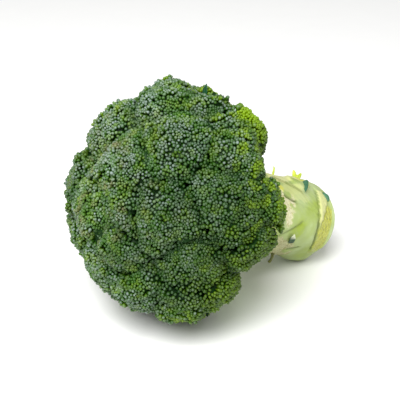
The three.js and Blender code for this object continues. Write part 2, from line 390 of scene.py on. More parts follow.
class Nodes:
    """Adds nodes to a tree from left to right and links them by value."""

    def __init__(self, tree):
        self.tree = tree

    def add(self, kind, inputs=None, **settings):
        """A new node, with values or links for its inputs by name."""
        node = self.tree.nodes.new(kind)
        node.location = (180 * len(self.tree.nodes), 0)
        for name, value in settings.items():
            setattr(node, name, value)
        for name, value in (inputs or {}).items():
            self.put(value, node.inputs[name])
        return node

    def put(self, value, socket):
        """Links a socket to the other one, or sets a plain value on it."""
        if isinstance(value, bpy.types.NodeSocket):
            self.tree.links.new(value, socket)
        else:
            socket.default_value = value

    def mix(self, share, one, other, blend="MIX"):
        """A colour between two, by a share from 0 to 1."""
        node = self.add("ShaderNodeMix", data_type="RGBA", blend_type=blend)
        for place, value in ((0, share), (6, one), (7, other)):
            self.put(value, node.inputs[place])
        return node.outputs[2]

    def math(self, operation, one, other=0.0, clamp=False):
        """A sum, product or the like of two values."""
        node = self.add("ShaderNodeMath", operation=operation, use_clamp=clamp)
        self.put(one, node.inputs[0])
        self.put(other, node.inputs[1])
        return node.outputs[0]

    def span(self, value, low, high, to_low=0.0, to_high=1.0):
        """A value moved from one range to another and kept within it."""
        node = self.add("ShaderNodeMapRange", {
            "Value": value, "From Min": low, "From Max": high,
            "To Min": to_low, "To Max": to_high})
        return node.outputs[0]

    def value(self, name):
        """A value that the shape carries at its points."""
        return self.add("ShaderNodeAttribute", attribute_name=name).outputs["Fac"]

    def group(self, tree, **inputs):
        """A node group, with values or links for its inputs by name."""
        node = self.add("ShaderNodeGroup", node_tree=tree)
        for name, value in inputs.items():
            self.put(value, node.inputs[name.replace("_", " ")])
        return node


def group_tree(name, inputs, outputs):
    """An empty node group with its sockets. Each input is a kind, a name and a default."""
    tree = bpy.data.node_groups.new(name, "ShaderNodeTree")
    for kind, socket_name, default in inputs:
        socket = tree.interface.new_socket(
            socket_name, in_out="INPUT", socket_type="NodeSocket" + kind)
        socket.default_value = default
    for kind, socket_name in outputs:
        tree.interface.new_socket(
            socket_name, in_out="OUTPUT", socket_type="NodeSocket" + kind)
    return tree, Nodes(tree)


def mottle_group():
    """Cloudy growth marks: a colour made lighter and darker in patches, and the patches."""
    name = "plant_mottle"
    if name in bpy.data.node_groups:
        return bpy.data.node_groups[name]
    tree, nodes = group_tree(
        name,
        (("Color", "Color", (0.2, 0.3, 0.1, 1)), ("Float", "Scale", 200.0),
         ("Float", "Darker", 0.75), ("Float", "Lighter", 1.2)),
        (("Color", "Color"), ("Float", "Patches")))
    given = nodes.add("NodeGroupInput")
    place = nodes.add("ShaderNodeTexCoord").outputs["Object"]
    noise = nodes.add("ShaderNodeTexNoise", {
        "Vector": place, "Scale": given.outputs["Scale"], "Detail": 3.0, "Roughness": 0.6})
    patches = nodes.span(noise.outputs["Fac"], 0.3, 0.7)
    strength = nodes.add("ShaderNodeMapRange", {
        "Value": patches, "To Min": given.outputs["Darker"], "To Max": given.outputs["Lighter"]})
    grey = nodes.add("ShaderNodeCombineColor", {
        "Red": strength.outputs[0], "Green": strength.outputs[0], "Blue": strength.outputs[0]})
    colour = nodes.mix(1.0, given.outputs["Color"], grey.outputs[0], "MULTIPLY")
    result = nodes.add("NodeGroupOutput")
    nodes.put(colour, result.inputs["Color"])
    nodes.put(patches, result.inputs["Patches"])
    return tree


def bloom_group():
    """The waxy bloom that a finger wipes off: where it lies, the colour is greyer and matt."""
    name = "waxy_bloom"
    if name in bpy.data.node_groups:
        return bpy.data.node_groups[name]
    tree, nodes = group_tree(
        name,
        (("Color", "Color", (0.2, 0.3, 0.1, 1)), ("Color", "Bloom", (0.4, 0.5, 0.4, 1)),
         ("Float", "Cover", 0.5), ("Float", "Scale", 300.0),
         ("Float", "Bare Roughness", 0.4), ("Float", "Bloom Roughness", 0.65)),
        (("Color", "Color"), ("Float", "Roughness")))
    given = nodes.add("NodeGroupInput")
    place = nodes.add("ShaderNodeTexCoord").outputs["Object"]
    noise = nodes.add("ShaderNodeTexNoise", {
        "Vector": place, "Scale": given.outputs["Scale"], "Detail": 2.0})
    worn = nodes.span(noise.outputs["Fac"], 0.35, 0.6, 0.55, 1.0)
    cover = nodes.math("MULTIPLY", worn, given.outputs["Cover"], clamp=True)
    colour = nodes.mix(cover, given.outputs["Color"], given.outputs["Bloom"])
    roughness = nodes.add("ShaderNodeMapRange", {
        "Value": cover, "To Min": given.outputs["Bare Roughness"],
        "To Max": given.outputs["Bloom Roughness"]})
    result = nodes.add("NodeGroupOutput")
    nodes.put(colour, result.inputs["Color"])
    nodes.put(roughness.outputs[0], result.inputs["Roughness"])
    return tree


def new_material(name):
    """A material with its Principled shader, and its nodes' helper."""
    material = bpy.data.materials.new(name)
    material.use_nodes = True
    nodes = Nodes(material.node_tree)
    return material, nodes, material.node_tree.nodes["Principled BSDF"]


def surface(nodes, shader, colour, roughness, shine=0.5):
    """The shader's colour and roughness, and how strongly it mirrors."""
    nodes.put(colour, shader.inputs["Base Color"])
    nodes.put(roughness, shader.inputs["Roughness"])
    shader.inputs["Specular IOR Level"].default_value = shine


def bump(nodes, shader, height, strength, distance):
    """Small relief on the shader's surface from a height that changes over it."""
    node = nodes.add("ShaderNodeBump", {"Height": height, "Distance": distance})
    node.inputs["Strength"].default_value = strength
    nodes.put(node.outputs["Normal"], shader.inputs["Normal"])


def bud_material():
    """Flower buds: green flanks painted darker towards the foot as shade, blue-grey tops that are
    partly waxy bloom and partly painted highlight, yellow-green where they are young, and painted
    shade over the crown.
    """
    name = "flower_buds"
    if name in bpy.data.materials:
        return bpy.data.materials[name]
    settings = bpy.context.scene.broccoli_crown
    material, nodes, shader = new_material(name)
    height = nodes.value("bud_height")
    tone = nodes.value("bud_tone")
    # Painted shade: each bud's flank darkens towards its foot, into the dark green between the
    # buds.
    flank = nodes.mix(nodes.span(height, 0.1, 0.7), settings.gap_shade_colour, settings.bud_colour)
    toned = nodes.group(mottle_group(), Color=flank, Scale=90.0, Darker=0.72, Lighter=1.3)
    # The pale tops are partly waxy bloom and partly a painted highlight, where the light falls on
    # each bud.
    cover = nodes.math(
        "MULTIPLY", nodes.span(height, 0.56, 0.98), nodes.span(tone, 0, 1, 0.03, 1.0))
    waxy = nodes.group(
        bloom_group(), Color=toned.outputs["Color"], Bloom=settings.bloom_colour, Cover=cover,
        Scale=420.0, Bare_Roughness=0.42, Bloom_Roughness=0.6)
    lit = nodes.math("MULTIPLY", nodes.value("bud_youth"), nodes.span(height, 0.0, 0.5, 0.35, 1.0))
    young = nodes.mix(lit, waxy.outputs["Color"], settings.young_colour)
    tinted = nodes.mix(nodes.value("bud_tint"), young, settings.tint_colour)
    # Painted shade: the buds are mixed towards the deep green where the crown lies in shade.
    shaded = nodes.mix(nodes.value("bud_shade"), tinted, settings.shade_colour)
    surface(nodes, shader, shaded, waxy.outputs["Roughness"], 0.3)
    return material


def core_material():
    """What the buds stand on: young shoots on the dome, painted dark as shade between the buds, and
    pale green stems below it.
    """
    name = "floret_stems"
    if name in bpy.data.materials:
        return bpy.data.materials[name]
    settings = bpy.context.scene.broccoli_stems
    crown = bpy.context.scene.broccoli_crown
    material, nodes, shader = new_material(name)
    stems = nodes.group(
        mottle_group(), Color=settings.floret_stem_colour, Scale=160.0, Darker=0.75, Lighter=1.15)
    # The shoot colour is painted dark, as shade under the buds.
    colour = nodes.mix(nodes.value("stem_share"), crown.shoot_colour, stems.outputs["Color"])
    waxy = nodes.group(
        bloom_group(), Color=colour, Bloom=settings.bloom_colour,
        Cover=nodes.math("MULTIPLY", nodes.value("stem_share"), 0.3),
        Scale=260.0, Bare_Roughness=0.5, Bloom_Roughness=0.65)
    surface(nodes, shader, waxy.outputs["Color"], waxy.outputs["Roughness"], 0.15)
    bump(nodes, shader, stems.outputs["Patches"], 0.3, 0.3 * MM)
    return material


def stem_material():
    """Branch skin: pale green with a bloom and fine lines of growth."""
    name = "branch_surface"
    if name in bpy.data.materials:
        return bpy.data.materials[name]
    settings = bpy.context.scene.broccoli_stems
    material, nodes, shader = new_material(name)
    mottled = nodes.group(
        mottle_group(), Color=settings.stem_colour, Scale=110.0, Darker=0.8, Lighter=1.12)
    waxy = nodes.group(
        bloom_group(), Color=mottled.outputs["Color"], Bloom=settings.bloom_colour, Cover=0.5,
        Scale=150.0, Bare_Roughness=0.42, Bloom_Roughness=0.6)
    surface(nodes, shader, waxy.outputs["Color"], waxy.outputs["Roughness"])
    bump(nodes, shader, mottled.outputs["Patches"], 0.25, 0.4 * MM)
    return material


def stalk_material():
    """Stalk skin, with the colours of its scars, folds, torn places and cut end, and painted light
    on its upper side and painted shade on its lower side.
    """
    name = "stalk_surface"
    if name in bpy.data.materials:
        return bpy.data.materials[name]
    settings = bpy.context.scene.broccoli_stalk
    material, nodes, shader = new_material(name)
    mottled = nodes.group(
        mottle_group(), Color=settings.skin_colour, Scale=75.0, Darker=0.86, Lighter=1.1)
    fresh = nodes.mix(nodes.value("fresh"), mottled.outputs["Color"], settings.fresh_colour)
    waxy = nodes.group(
        bloom_group(), Color=fresh, Bloom=settings.bloom_colour, Cover=nodes.value("bloom"),
        Scale=120.0, Bare_Roughness=0.38, Bloom_Roughness=0.6)
    fibres = nodes.add("ShaderNodeTexNoise", {
        "Vector": nodes.add("ShaderNodeTexCoord").outputs["Object"], "Scale": 520.0,
        "Detail": 3.0, "Roughness": 0.6, "Distortion": 1.5})
    strand = nodes.span(fibres.outputs["Fac"], 0.32, 0.66)
    fibrous = nodes.mix(strand, settings.fibre_dark_colour, settings.fibre_colour)
    fleck = nodes.span(fibres.outputs["Fac"], 0.36, 0.5)
    torn = nodes.mix(fleck, settings.torn_dark_colour, settings.torn_colour)
    dried = nodes.mix(fleck, settings.dry_dark_colour, settings.dry_colour)
    colour = waxy.outputs["Color"]
    for mask, other in (
            ("fibre", fibrous), ("wedge", settings.pale_cut_and_lit_colour),
            ("yellow", settings.yellow_colour), ("torn", torn), ("dry", dried),
            ("pith", settings.pith_colour), ("crease", settings.crease_and_shade_colour)):
        colour = nodes.mix(nodes.value(mask), colour, other)
    surface(nodes, shader, colour, waxy.outputs["Roughness"], 0.4)
    rough_places = nodes.math("MULTIPLY", strand, nodes.value("rough"))
    cloudy = nodes.math("MULTIPLY", mottled.outputs["Patches"], 0.3)
    relief = nodes.math("ADD", rough_places, cloudy)
    bump(nodes, shader, relief, 0.5, 0.5 * MM)
    return material


def leaf_material(name, colour, bloom_colour, cover):
    """A leaf blade: its colour under a bloom, with paler veins along it."""
    if name in bpy.data.materials:
        return bpy.data.materials[name]
    material, nodes, shader = new_material(name)
    mottled = nodes.group(mottle_group(), Color=colour, Scale=500.0, Darker=0.75, Lighter=1.25)
    waxy = nodes.group(
        bloom_group(), Color=mottled.outputs["Color"], Bloom=bloom_colour, Cover=cover,
        Scale=600.0, Bare_Roughness=0.4, Bloom_Roughness=0.6)
    veined = nodes.mix(nodes.value("vein"), waxy.outputs["Color"], bloom_colour)
    surface(nodes, shader, veined, waxy.outputs["Roughness"], 0.25)
    bump(nodes, shader, mottled.outputs["Patches"], 0.2, 0.2 * MM)
    return material


# ---- Florets ------------------------------------------------------------------------------

BUD_SIDES = 5
BODY_ROWS, BODY_COLUMNS = 30, 52
BODY_DEPTH = 2.0 * MM            # from the feet of the buds to the solid under them
CUT_DEPTH = 1.6 * MM             # how much deeper that solid is at the cuts
GROUND_DROP = 1.2 * MM           # from the CAD's domes down to the buds' level ground
LOWEST_BUD = math.radians(121)   # from the floret's axis
SEAM = 0.35 * MM                 # kept clear on each side of a cut between florets
CUT_WANDER = 2.6 * MM            # about how far the cuts wander from their planes
FINE_WANDER = 0.45 * CUT_WANDER  # the same, in smaller waves
CREASE_WIDTH = 3.2 * MM          # of the narrow crease along a cut
FILL_WIDTH = 6.5 * MM            # of the wide fill on each side of it
CORNER_FILL = 2.0 * MM           # height of the fill where two cuts meet
ROSETTE_GROOVE = 1.6 * MM        # width of the groove around a rosette
ROSETTE_DIP = 0.7 * MM           # depth of the dip in its middle
BUDS_IN_ROSETTE = 46             # tried in each one, before the edges take some away
SPIRAL_SIZE, SPIRAL_POWER = 0.415, 0.56    # of its spiral, in bud spacings
FILL_TRIES = 12000               # places tried for buds between the rosettes
SQUEEZE = 0.8                    # how near buds may start, in shares of their room
BUD_CLEARANCE = 0.3 * MM         # from a bud's foot to a cut
BUD_FILL = 0.61                  # a bud's radius, in distances to its neighbours
BUD_SPLAY, BUD_TILT = 0.25, 0.16    # how far its axis leans out of the rosette, and anyhow
BUD_LIFT = 0.22 * MM             # by which it stands higher or lower
FAN_CURVE = 1.45                 # power by which the fan widens from neck to rim
STEM_HEIGHTS = (-0.45, -0.7)     # in dome radii, where dark shoots give way to pale stems
FAR_OFF = 1.0                    # metres to a cut that isn't there
ON_SURFACE = 0.05 * MM
HALVINGS = 26                    # in the search for a floret's surface
PLANE_SLACK = 0.4 * MM           # from a cut's plane to the point that all cuts pass
SAME_WAY = 0.9995                # cosine between faces of one cut
SLIVER = 0.05 * MM * MM          # area of a face too small to count
FACES_OUT, ON_THE_GROUND = 0.15, -0.99    # what parts a dome's faces from cuts and flat spots
FITTING_STEPS = 12               # of a sphere to a dome's corners
DENT = 0.08 * MM                 # depth inside that sphere at which a corner counts half
SETTLING_STEPS = 5               # of the buds against each other
ELBOW_ROOM, PUSH = 1.04, 0.28    # the room that they push for, and the share moved in a step
ROUNDNESS = 0.7                  # how far buds keep to the dome's roundness, not its bumps
BUD_SIZES = (0.55 * MM, 1.05 * MM)    # smallest and largest radius, before it varies
MOST_SPIN = 6.28                 # radians that a bud is turned about itself, at the most
PEDICEL_RADII = np.array([0.75, 0.6, 0.5, 0.45]) * MM
RIB_STEPS, RIB_SIDES = 8, 6

# Angles between which the buds change, in radians: from the crown's axis for the browner apex
# and the younger rim and its edge, and from the floret's own axis for its underside.
APEX_ANGLES = (0.95, 0.25)
RIM_ANGLES = (1.0, 1.65)
RIM_EDGE_ANGLES = (1.42, 1.66)
UNDERSIDE_ANGLES = (math.radians(84), math.radians(116))

# A bud's rings from its foot to its shoulder: radius and height in bud radii, and how far up the
# bud the ring counts in its colours. Then each ring's radius on the map, in cells of it.
BUD_RINGS = ((0.34, -2.7, 0.0), (1.0, -0.12, 0.5), (0.77, 0.58, 0.88))
BUD_RINGS_ON_MAP = (0.47, 0.36, 0.2)
BUD_TOP = 0.97

# Where the crown stands further out or in than its plain domes: polar angle, turn and half-width
# in degrees, and millimetres.
SWELLS = (
    (88, -2, 15, -5.0), (66, -8, 12, -1.5), (77, 0, 10, -4.2), (77, -17, 8, 6.5),
    (84, -11, 7, 5.0), (86, -40, 9, 1.5), (95, -46, 8, -5.5), (81, -59, 9, 1.5),
    (91, -66, 9, -3.2), (81, -47, 5, -3.5), (98.5, -83, 8, 6.0), (99, -93, 9, 2.6),
    (91, -98, 7, -2.6), (22, 108, 6, 3.4), (27, 120, 6, 3.0), (19, 88, 6, 1.5),
    (27, 98, 5, -1.0), (33, 98, 12, -2.5), (36, 70, 9, 2.5), (60, 38, 9, 1.2),
    (46, 124, 12, 4.5), (71, -94, 5, 2.6), (77, -93, 5, 3.6), (83, -89, 5, 2.2),
    (92, -150, 16, -4.0), (82, -109.5, 4, -3.0), (59, -106, 9, -3.2), (58, -129, 6, 3.4),
    (63, -128, 6, 3.4), (69, -123, 6, 4.0), (74.5, -116, 6, 3.6), (76, -146, 12, 2.5),
    (62, -160, 14, 2.0))

# Where the buds are younger and yellower: polar angle, turn, half-width, and how much.
YOUNG_PLACES = (
    (84, -21, 5, 1.6), (84, -29, 5.5, 1.8), (87, -36, 6.5, 1.6), (93, -41, 8, 1.5),
    (98, -34, 9, 1.4), (88, -116, 8, 0.7), (102, -90, 9, 0.5), (80, -100, 26, 0.42),
    (76, -118, 14, 0.32), (88, -66, 8, -0.35))

# Where the waxy bloom is heaviest and the buds are painted lighter, as on the side that the light
# falls on, in the same terms.
HEAVY_BLOOM_AND_LIGHT = 0.65
BLOOM_AND_LIGHT_PLACES = ((62, 40, 50, HEAVY_BLOOM_AND_LIGHT),)

# Painted shade: how much darker the buds are painted away from the heavy bloom and the lit upper
# side, and where they are painted darker or lighter than that, in the same terms.
SHADE_AWAY_FROM_LIT_SIDE = 0.32
SHADE_PLACES = (
    (88, -86, 14, 0.26), (70, -105, 38, 0.34), (92, -40, 10, 0.2), (82, -27, 7, -0.5),
    (22, 165, 26, -0.26), (45, 150, 16, -0.16), (44, -75, 14, -0.14), (36, -145, 16, 0.1),
    (62, -70, 14, 0.1), (95, -80, 11, 0.08))


def cut_planes(node):
    """The flat cuts between a floret and its neighbours: outward normals and distances.

    Every cut runs close by the start of the branches, so a face whose plane does is a cut.
    """
    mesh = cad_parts[node].data
    normals, distances = [], []
    for face in mesh.polygons:
        normal = np.array(face.normal)
        distance = normal @ np.array(face.center)
        near_start = abs(distance - normal @ FORK_START) < PLANE_SLACK
        known = any(normal @ other > SAME_WAY for other in normals)
        if near_start and face.area > SLIVER and not known:
            normals.append(normal)
            distances.append(distance)
    return np.array(normals).reshape(-1, 3), np.array(distances)


def dome_of(node):
    """The sphere that a floret's dome lies on, fitted to the dome's corners."""
    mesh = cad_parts[node].data
    corners = set()
    for face in mesh.polygons:
        normal, centre = np.array(face.normal), np.array(face.center)
        outward = normal @ unit(centre - FORK_START)
        if outward > FACES_OUT and normal[2] > ON_THE_GROUND:
            corners.update(face.vertices)
    points = node_points(node)[sorted(corners)]
    weights = np.ones(len(points))
    for _ in range(FITTING_STEPS):
        rows = np.hstack([2 * points, np.ones((len(points), 1))]) * weights[:, None]
        answer = np.linalg.lstsq(rows, (points ** 2).sum(1) * weights, rcond=None)[0]
        centre = answer[:3]
        radius = math.sqrt(answer[3] + centre @ centre)
        inside = radius - np.linalg.norm(points - centre, axis=1)
        weights = 1 / (1 + (np.maximum(inside, 0) / DENT) ** 2)
    return centre, radius


class Floret:
    """One floret's dome, cuts and rosettes, measured on its CAD node."""

    def __init__(self, node, settings):
        self.node = node
        self.draw = np.random.default_rng(seed_of(node))
        self.centre, self.radius = dome_of(node)
        self.axis = unit(self.centre - FORK_START)
        self.normals, self.distances = cut_planes(node)
        self.neck_height = -NECK_DEPTH * self.radius
        self.rim_height = -self.radius * math.sin(DOME_DROP)
        self.neck = self.centre + self.neck_height * self.axis
        self.basis = frames_on(self.axis[None], np.zeros(1))[0]
        self.polar = angles_between(unit(self.centre - CENTRE), CROWN_AXIS)
        self.settings = settings
        self.rosettes = self.scatter_rosettes()
        self.lifts = self.draw.normal(scale=0.7 * MM, size=len(self.rosettes))
        self.shared = np.zeros(len(self.normals))

    def meet(self, florets):
        """Finds which cuts part this floret from one on its own branch: 1 there, 0 elsewhere.

        The cut towards a floret stands square to the plane through both axes.
        """
        siblings = next(names for names in BRANCHES.values() if self.node in names)
        others = [floret for floret in florets if floret is not self]
        for place, normal in enumerate(self.normals):
            def mismatch(other):
                """How far the cut is from one that would part the two florets."""
                plane = unit(np.cross(self.axis, other.axis))
                beyond = normal @ unit(other.centre - self.centre)
                return abs(normal @ plane) + (1 if beyond < 0.3 else 0) + 0.3 * (1 - beyond)
            self.shared[place] = min(others, key=mismatch).node in siblings

    def from_cuts(self, points):
        """How far points are inside each cut, in metres. Below 0 is beyond it.

        The cuts wander near the crown's surface, but not where they meet. Each one bends the
        same way on both its sides.
        """
        plain = self.distances - points @ self.normals.T
        gaps = np.sort(np.hstack([np.abs(plain), np.full((len(points), 2), FAR_OFF)]), axis=1)
        other = np.where(np.abs(plain) <= gaps[:, :1], gaps[:, 1:2], gaps[:, :1])
        away = np.linalg.norm(points - CENTRE, axis=1)
        wander = CUT_WANDER * ripple(points, 17 * MM, 16) + FINE_WANDER * ripple(
            points, 6 * MM, 17)
        wander *= smooth_step(30 * MM, 62 * MM, away)
        sides = np.sign(self.normals @ unit(np.array([0.31, 0.87, 0.38])))
        return plain + wander[:, None] * sides * smooth_step(0, 8 * MM, other)

    def inside(self, points, clearance=0.0):
        """How far points are inside all the cuts, in metres."""
        if not len(self.normals):
            return np.full(len(points), FAR_OFF)
        return self.from_cuts(points).min(axis=1) - clearance

    def scatter_rosettes(self):
        """Directions from the dome's centre to the middles of its rosettes."""
        spacing = self.settings.rosette_spacing
        area = 4 * math.pi * self.radius ** 2
        count = round(area / (0.87 * spacing ** 2))
        place = np.arange(count) + 0.5
        height = 1 - 2 * place / count
        turn = place * GOLDEN_ANGLE + self.draw.uniform(0, FULL_TURN)
        ring = np.sqrt(1 - height ** 2)
        even = np.stack([ring * np.cos(turn), ring * np.sin(turn), height], 1) @ self.basis
        jitter = 0.24 * spacing / self.radius
        return unit(even + self.draw.normal(scale=jitter, size=even.shape))

    def rosette_at(self, ways):
        """Which rosette each direction is on, how far from its middle and from its edge."""
        angles = angles_between(ways, self.rosettes.T)
        nearest = np.argpartition(angles, 1, axis=1)[:, :2]
        first, second = np.sort(np.take_along_axis(angles, nearest, 1), axis=1).T * self.radius
        return angles.argmin(axis=1), first, (second - first) / 2

    def ground(self, points):
        """The broad relief of the dome, for points of its sphere."""
        swell = 0.8 * MM * ripple(points, 16 * MM, 11) + 0.4 * MM * ripple(points, 7 * MM, 12)
        swell += around_places(points, SWELLS) * MM
        return swell + self.crease(points) - GROUND_DROP

    def relief(self, ways):
        """How far the buds' feet stand proud of the sphere, for directions from its centre."""
        points = self.centre + self.radius * ways
        rosette, off_middle, off_edge = self.rosette_at(ways)
        deep = 0.35 + 0.65 * smooth_step(-0.7, 0.7, ripple(points, 8 * MM, 14))
        edge = fade(off_edge, ROSETTE_GROOVE)
        dip = ROSETTE_DIP * fade(off_middle, 1.5 * MM)
        uneven = 0.3 * MM * ripple(points, 2.8 * MM, 13)
        lift = self.lifts[rosette] * (1 - edge)
        groove_depth = self.settings.rosette_height * deep * edge
        return self.ground(points) + lift + uneven - dip - groove_depth

    def crease(self, points):
        """Relief beside the cuts: a wide fill that joins the domes, with a narrow crease in it.

        Between florets of one branch the fill is deeper and the crease is shallow.
        """
        if not len(self.normals):
            return np.zeros(len(points))
        edge = np.maximum(self.from_cuts(points), 0)
        fill = (1.5 + 0.8 * self.shared) * MM * fade(edge, FILL_WIDTH)
        line = (2.5 - 1.6 * self.shared) * MM * fade(edge, CREASE_WIDTH)
        nearest = np.sort(np.hstack([edge, np.full((len(edge), 1), FAR_OFF)]), axis=1)[:, :2]
        corner = CORNER_FILL * np.exp(-(nearest ** 2).sum(axis=1) / (5 * MM) ** 2)
        return fill.max(axis=1) + corner - line.max(axis=1)

    def kept_inside(self, points, clearance):
        """The points, with those beyond a cut moved straight back to their side of it."""
        for place, normal in enumerate(self.normals):
            over = np.maximum(clearance - self.from_cuts(points)[:, place], 0)
            points = points - over[:, None] * normal
        return points

    def reach(self, starts, ways):
        """Distance along each way to the floret's surface, by halving."""
        low, high = np.zeros(len(ways)), np.full(len(ways), 3 * self.radius)
        for _ in range(HALVINGS):
            middle = (low + high) / 2
            points = starts + ways * middle[:, None]
            inner = self.holds(points)
            low, high = np.where(inner, middle, low), np.where(inner, high, middle)
        return low

    def holds(self, points):
        """Whether points are in the dome or in the fan below it, and clear of the cuts."""
        local = points - self.centre
        height = local @ self.axis
        out = np.linalg.norm(local - height[:, None] * self.axis, axis=1)
        in_ball = out ** 2 + height ** 2 < self.radius ** 2
        within = np.where(height > self.rim_height, in_ball, out < self.fan_radius(height))
        return within & (self.inside(points, SEAM) > 0) & (points[:, 2] > 0)

    def fan_radius(self, height):
        """Radius of the fan of stems at a height from the dome's centre."""
        share = (height - self.neck_height) / (self.rim_height - self.neck_height)
        rim = self.radius * math.cos(DOME_DROP)
        fan = NECK_RADIUS + (rim - NECK_RADIUS) * np.clip(share, 0, 1) ** FAN_CURVE
        return np.where(height < self.neck_height, -1.0, fan)

    def body(self):
        """The solid under the buds: the bumpy dome, its cut sides and the fan below."""
        middle = self.centre - 0.1 * self.radius * self.axis
        if self.inside(middle[None])[0] < 2 * MM:
            middle = solid_middle(self.node)
        polar = math.pi * np.arange(BODY_ROWS + 1) / BODY_ROWS
        turn = FULL_TURN * np.arange(BODY_COLUMNS) / BODY_COLUMNS
        polar, turn = np.meshgrid(polar[1:-1], turn, indexing="ij")
        ways = np.stack([
            np.sin(polar) * np.cos(turn), np.sin(polar) * np.sin(turn), np.cos(polar)], -1)
        ways = ways.reshape(-1, 3) @ self.basis
        ways = np.vstack([ways, self.axis, -self.axis])
        points = middle + ways * self.reach(middle, ways)[:, None]
        out = points - self.centre
        far = np.linalg.norm(out, axis=1)
        height = out @ self.axis
        on_dome = (np.abs(far - self.radius) < ON_SURFACE) & (
            height > self.rim_height - ON_SURFACE)
        outward = out / far[:, None]
        under = self.centre + self.radius * outward
        by_cut = fade(np.maximum(self.inside(under), 0), 3.5 * MM)
        sunk = self.ground(under) - BODY_DEPTH - CUT_DEPTH * by_cut
        raised = self.centre + outward * (self.radius + sunk)[:, None]
        points = self.kept_inside(np.where(on_dome[:, None], raised, points), SEAM)
        stem_share = smooth_step(*STEM_HEIGHTS, height / self.radius)
        return globe(points, BODY_ROWS, BODY_COLUMNS, material=1, stem_share=stem_share)

    def bud_places(self):
        """Where the buds stand: their directions from the dome's centre and their feet.

        Each rosette is a spiral of buds that lie closer towards its middle. The buds between
        the rosettes stand at random.
        """
        spacing = self.settings.bud_spacing
        ways, offsets = [], []
        steps = np.arange(BUDS_IN_ROSETTE)
        spiral = SPIRAL_SIZE * spacing * (steps + 0.4) ** SPIRAL_POWER
        for middle in self.rosettes:
            if middle @ self.axis < math.cos(LOWEST_BUD) - 0.2:
                continue
            side, other, _ = frames_on(middle[None], self.draw.uniform(0, MOST_SPIN, 1))[0]
            turn = steps * GOLDEN_ANGLE + self.draw.normal(scale=0.08, size=BUDS_IN_ROSETTE)
            off = spiral * (1 + self.draw.normal(scale=0.05, size=BUDS_IN_ROSETTE))
            ways.append(turned(off / self.radius, middle, turned(turn, side, other)))
            offsets.append(off)
        ways, offsets = np.vstack(ways), np.concatenate(offsets)
        own = offsets < self.rosette_at(ways)[1] + 0.3 * spacing
        ways, offsets = ways[own], offsets[own]
        fill = unit(self.draw.normal(size=(FILL_TRIES, 3)))
        ways = np.vstack([ways[np.argsort(offsets)], fill])
        ways = ways[self.allows_bud(ways)]
        kept = keep_apart(self.radius * ways, SQUEEZE * self.room(ways))
        ways = self.settled(ways[kept])
        return ways, self.feet(ways)

    def feet(self, ways):
        """Where buds stand on the relief, for directions from the dome's centre."""
        return self.centre + ways * (self.radius + self.relief(ways))[:, None]

    def room(self, ways):
        """Room for a bud: less in the middle of a rosette, where the buds are young and small."""
        off_middle = self.rosette_at(ways)[1]
        uneven = 1 + 0.1 * ripple(self.centre + self.radius * ways, 4 * MM, 15)
        share = 0.70 + 0.36 * smooth_step(0.5 * MM, 3.0 * MM, off_middle)
        return self.settings.bud_spacing * share * uneven

    def allows_bud(self, ways):
        """Whether a bud can stand on the dome there, clear of cuts, underside and surface."""
        points = self.feet(ways)
        return (
            (self.inside(points) > BUD_CLEARANCE)
            & (ways @ self.axis > math.cos(LOWEST_BUD)) & (points[:, 2] > -0.2 * MM))

    def settled(self, ways):
        """Lets the buds push each other apart a little."""
        for _ in range(SETTLING_STEPS):
            gaps = self.radius * (ways[:, None] - ways[None])
            far = np.linalg.norm(gaps, axis=2)
            np.fill_diagonal(far, 1)
            push = np.maximum(ELBOW_ROOM * self.room(ways)[:, None] - far, 0) / far
            moved = unit(ways + PUSH * (gaps * push[..., None]).sum(axis=1) / self.radius)
            ways = np.where(self.allows_bud(moved)[:, None], moved, ways)
        return ways

    def outward_on(self, ways, points):
        """Normals of the bumpy dome, from two small steps along it."""
        step = 0.5 * MM / self.radius
        frame_rows = frames_on(ways, np.zeros(len(ways)))
        edges = []
        for row in (0, 1):
            edges.append(self.feet(unit(ways + step * frame_rows[:, row])) - points)
        return unit(unit(np.cross(edges[0], edges[1])) + ROUNDNESS * ways)

    def buds(self):
        """Every bud of the floret as one shape, and what the short stems below them need."""
        ways, points = self.bud_places()
        count = len(ways)
        normals = self.outward_on(ways, points)
        rosette, off_middle, _ = self.rosette_at(ways)
        splay = unit(ways - self.rosettes[rosette] + 1e-9)
        splay = splay * smooth_step(0, 5 * MM, off_middle)[:, None] * BUD_SPLAY
        axes = unit(normals + splay + self.draw.normal(scale=BUD_TILT, size=(count, 3)))
        far = self.radius * np.linalg.norm(ways[:, None] - ways[None], axis=2)
        near = np.sort(far, axis=1)[:, 1:5].mean(axis=1)
        size = np.clip(BUD_FILL * near, *BUD_SIZES)
        size *= 1 + self.draw.normal(scale=0.1, size=count)
        lift = self.draw.normal(scale=BUD_LIFT, size=count)
        centres = points + normals * (size + lift)[:, None]
        centres[:, 2] = np.maximum(centres[:, 2], 0.85 * size)
        start, end = UNDERSIDE_ANGLES
        low = smooth_step(math.cos(start), math.cos(end), ways @ self.axis)
        colours = self.bud_colours(ways, points, low)
        shape = bud_shapes(centres, axes, size, self.draw.uniform(0, MOST_SPIN, count))
        per_bud = len(BUD_RINGS) * BUD_SIDES + 1
        for name, values in colours.items():
            shape.values[name] = np.repeat(np.clip(values, 0, 1), per_bud)
        return shape, ways, centres, size, low

    def bud_colours(self, ways, points, low):
        """How young, tinted and waxy each bud is, and how much painted shade it has. Each value
        counts from 0 to 1.
        """
        count = len(ways)
        rosette, off_middle, off_edge = self.rosette_at(ways)
        polar = angles_between(unit(points - CENTRE), CROWN_AXIS)
        rim, apex = smooth_step(*RIM_ANGLES, polar), smooth_step(*APEX_ANGLES, polar)
        by_cut = self.inside(self.centre + self.radius * ways)

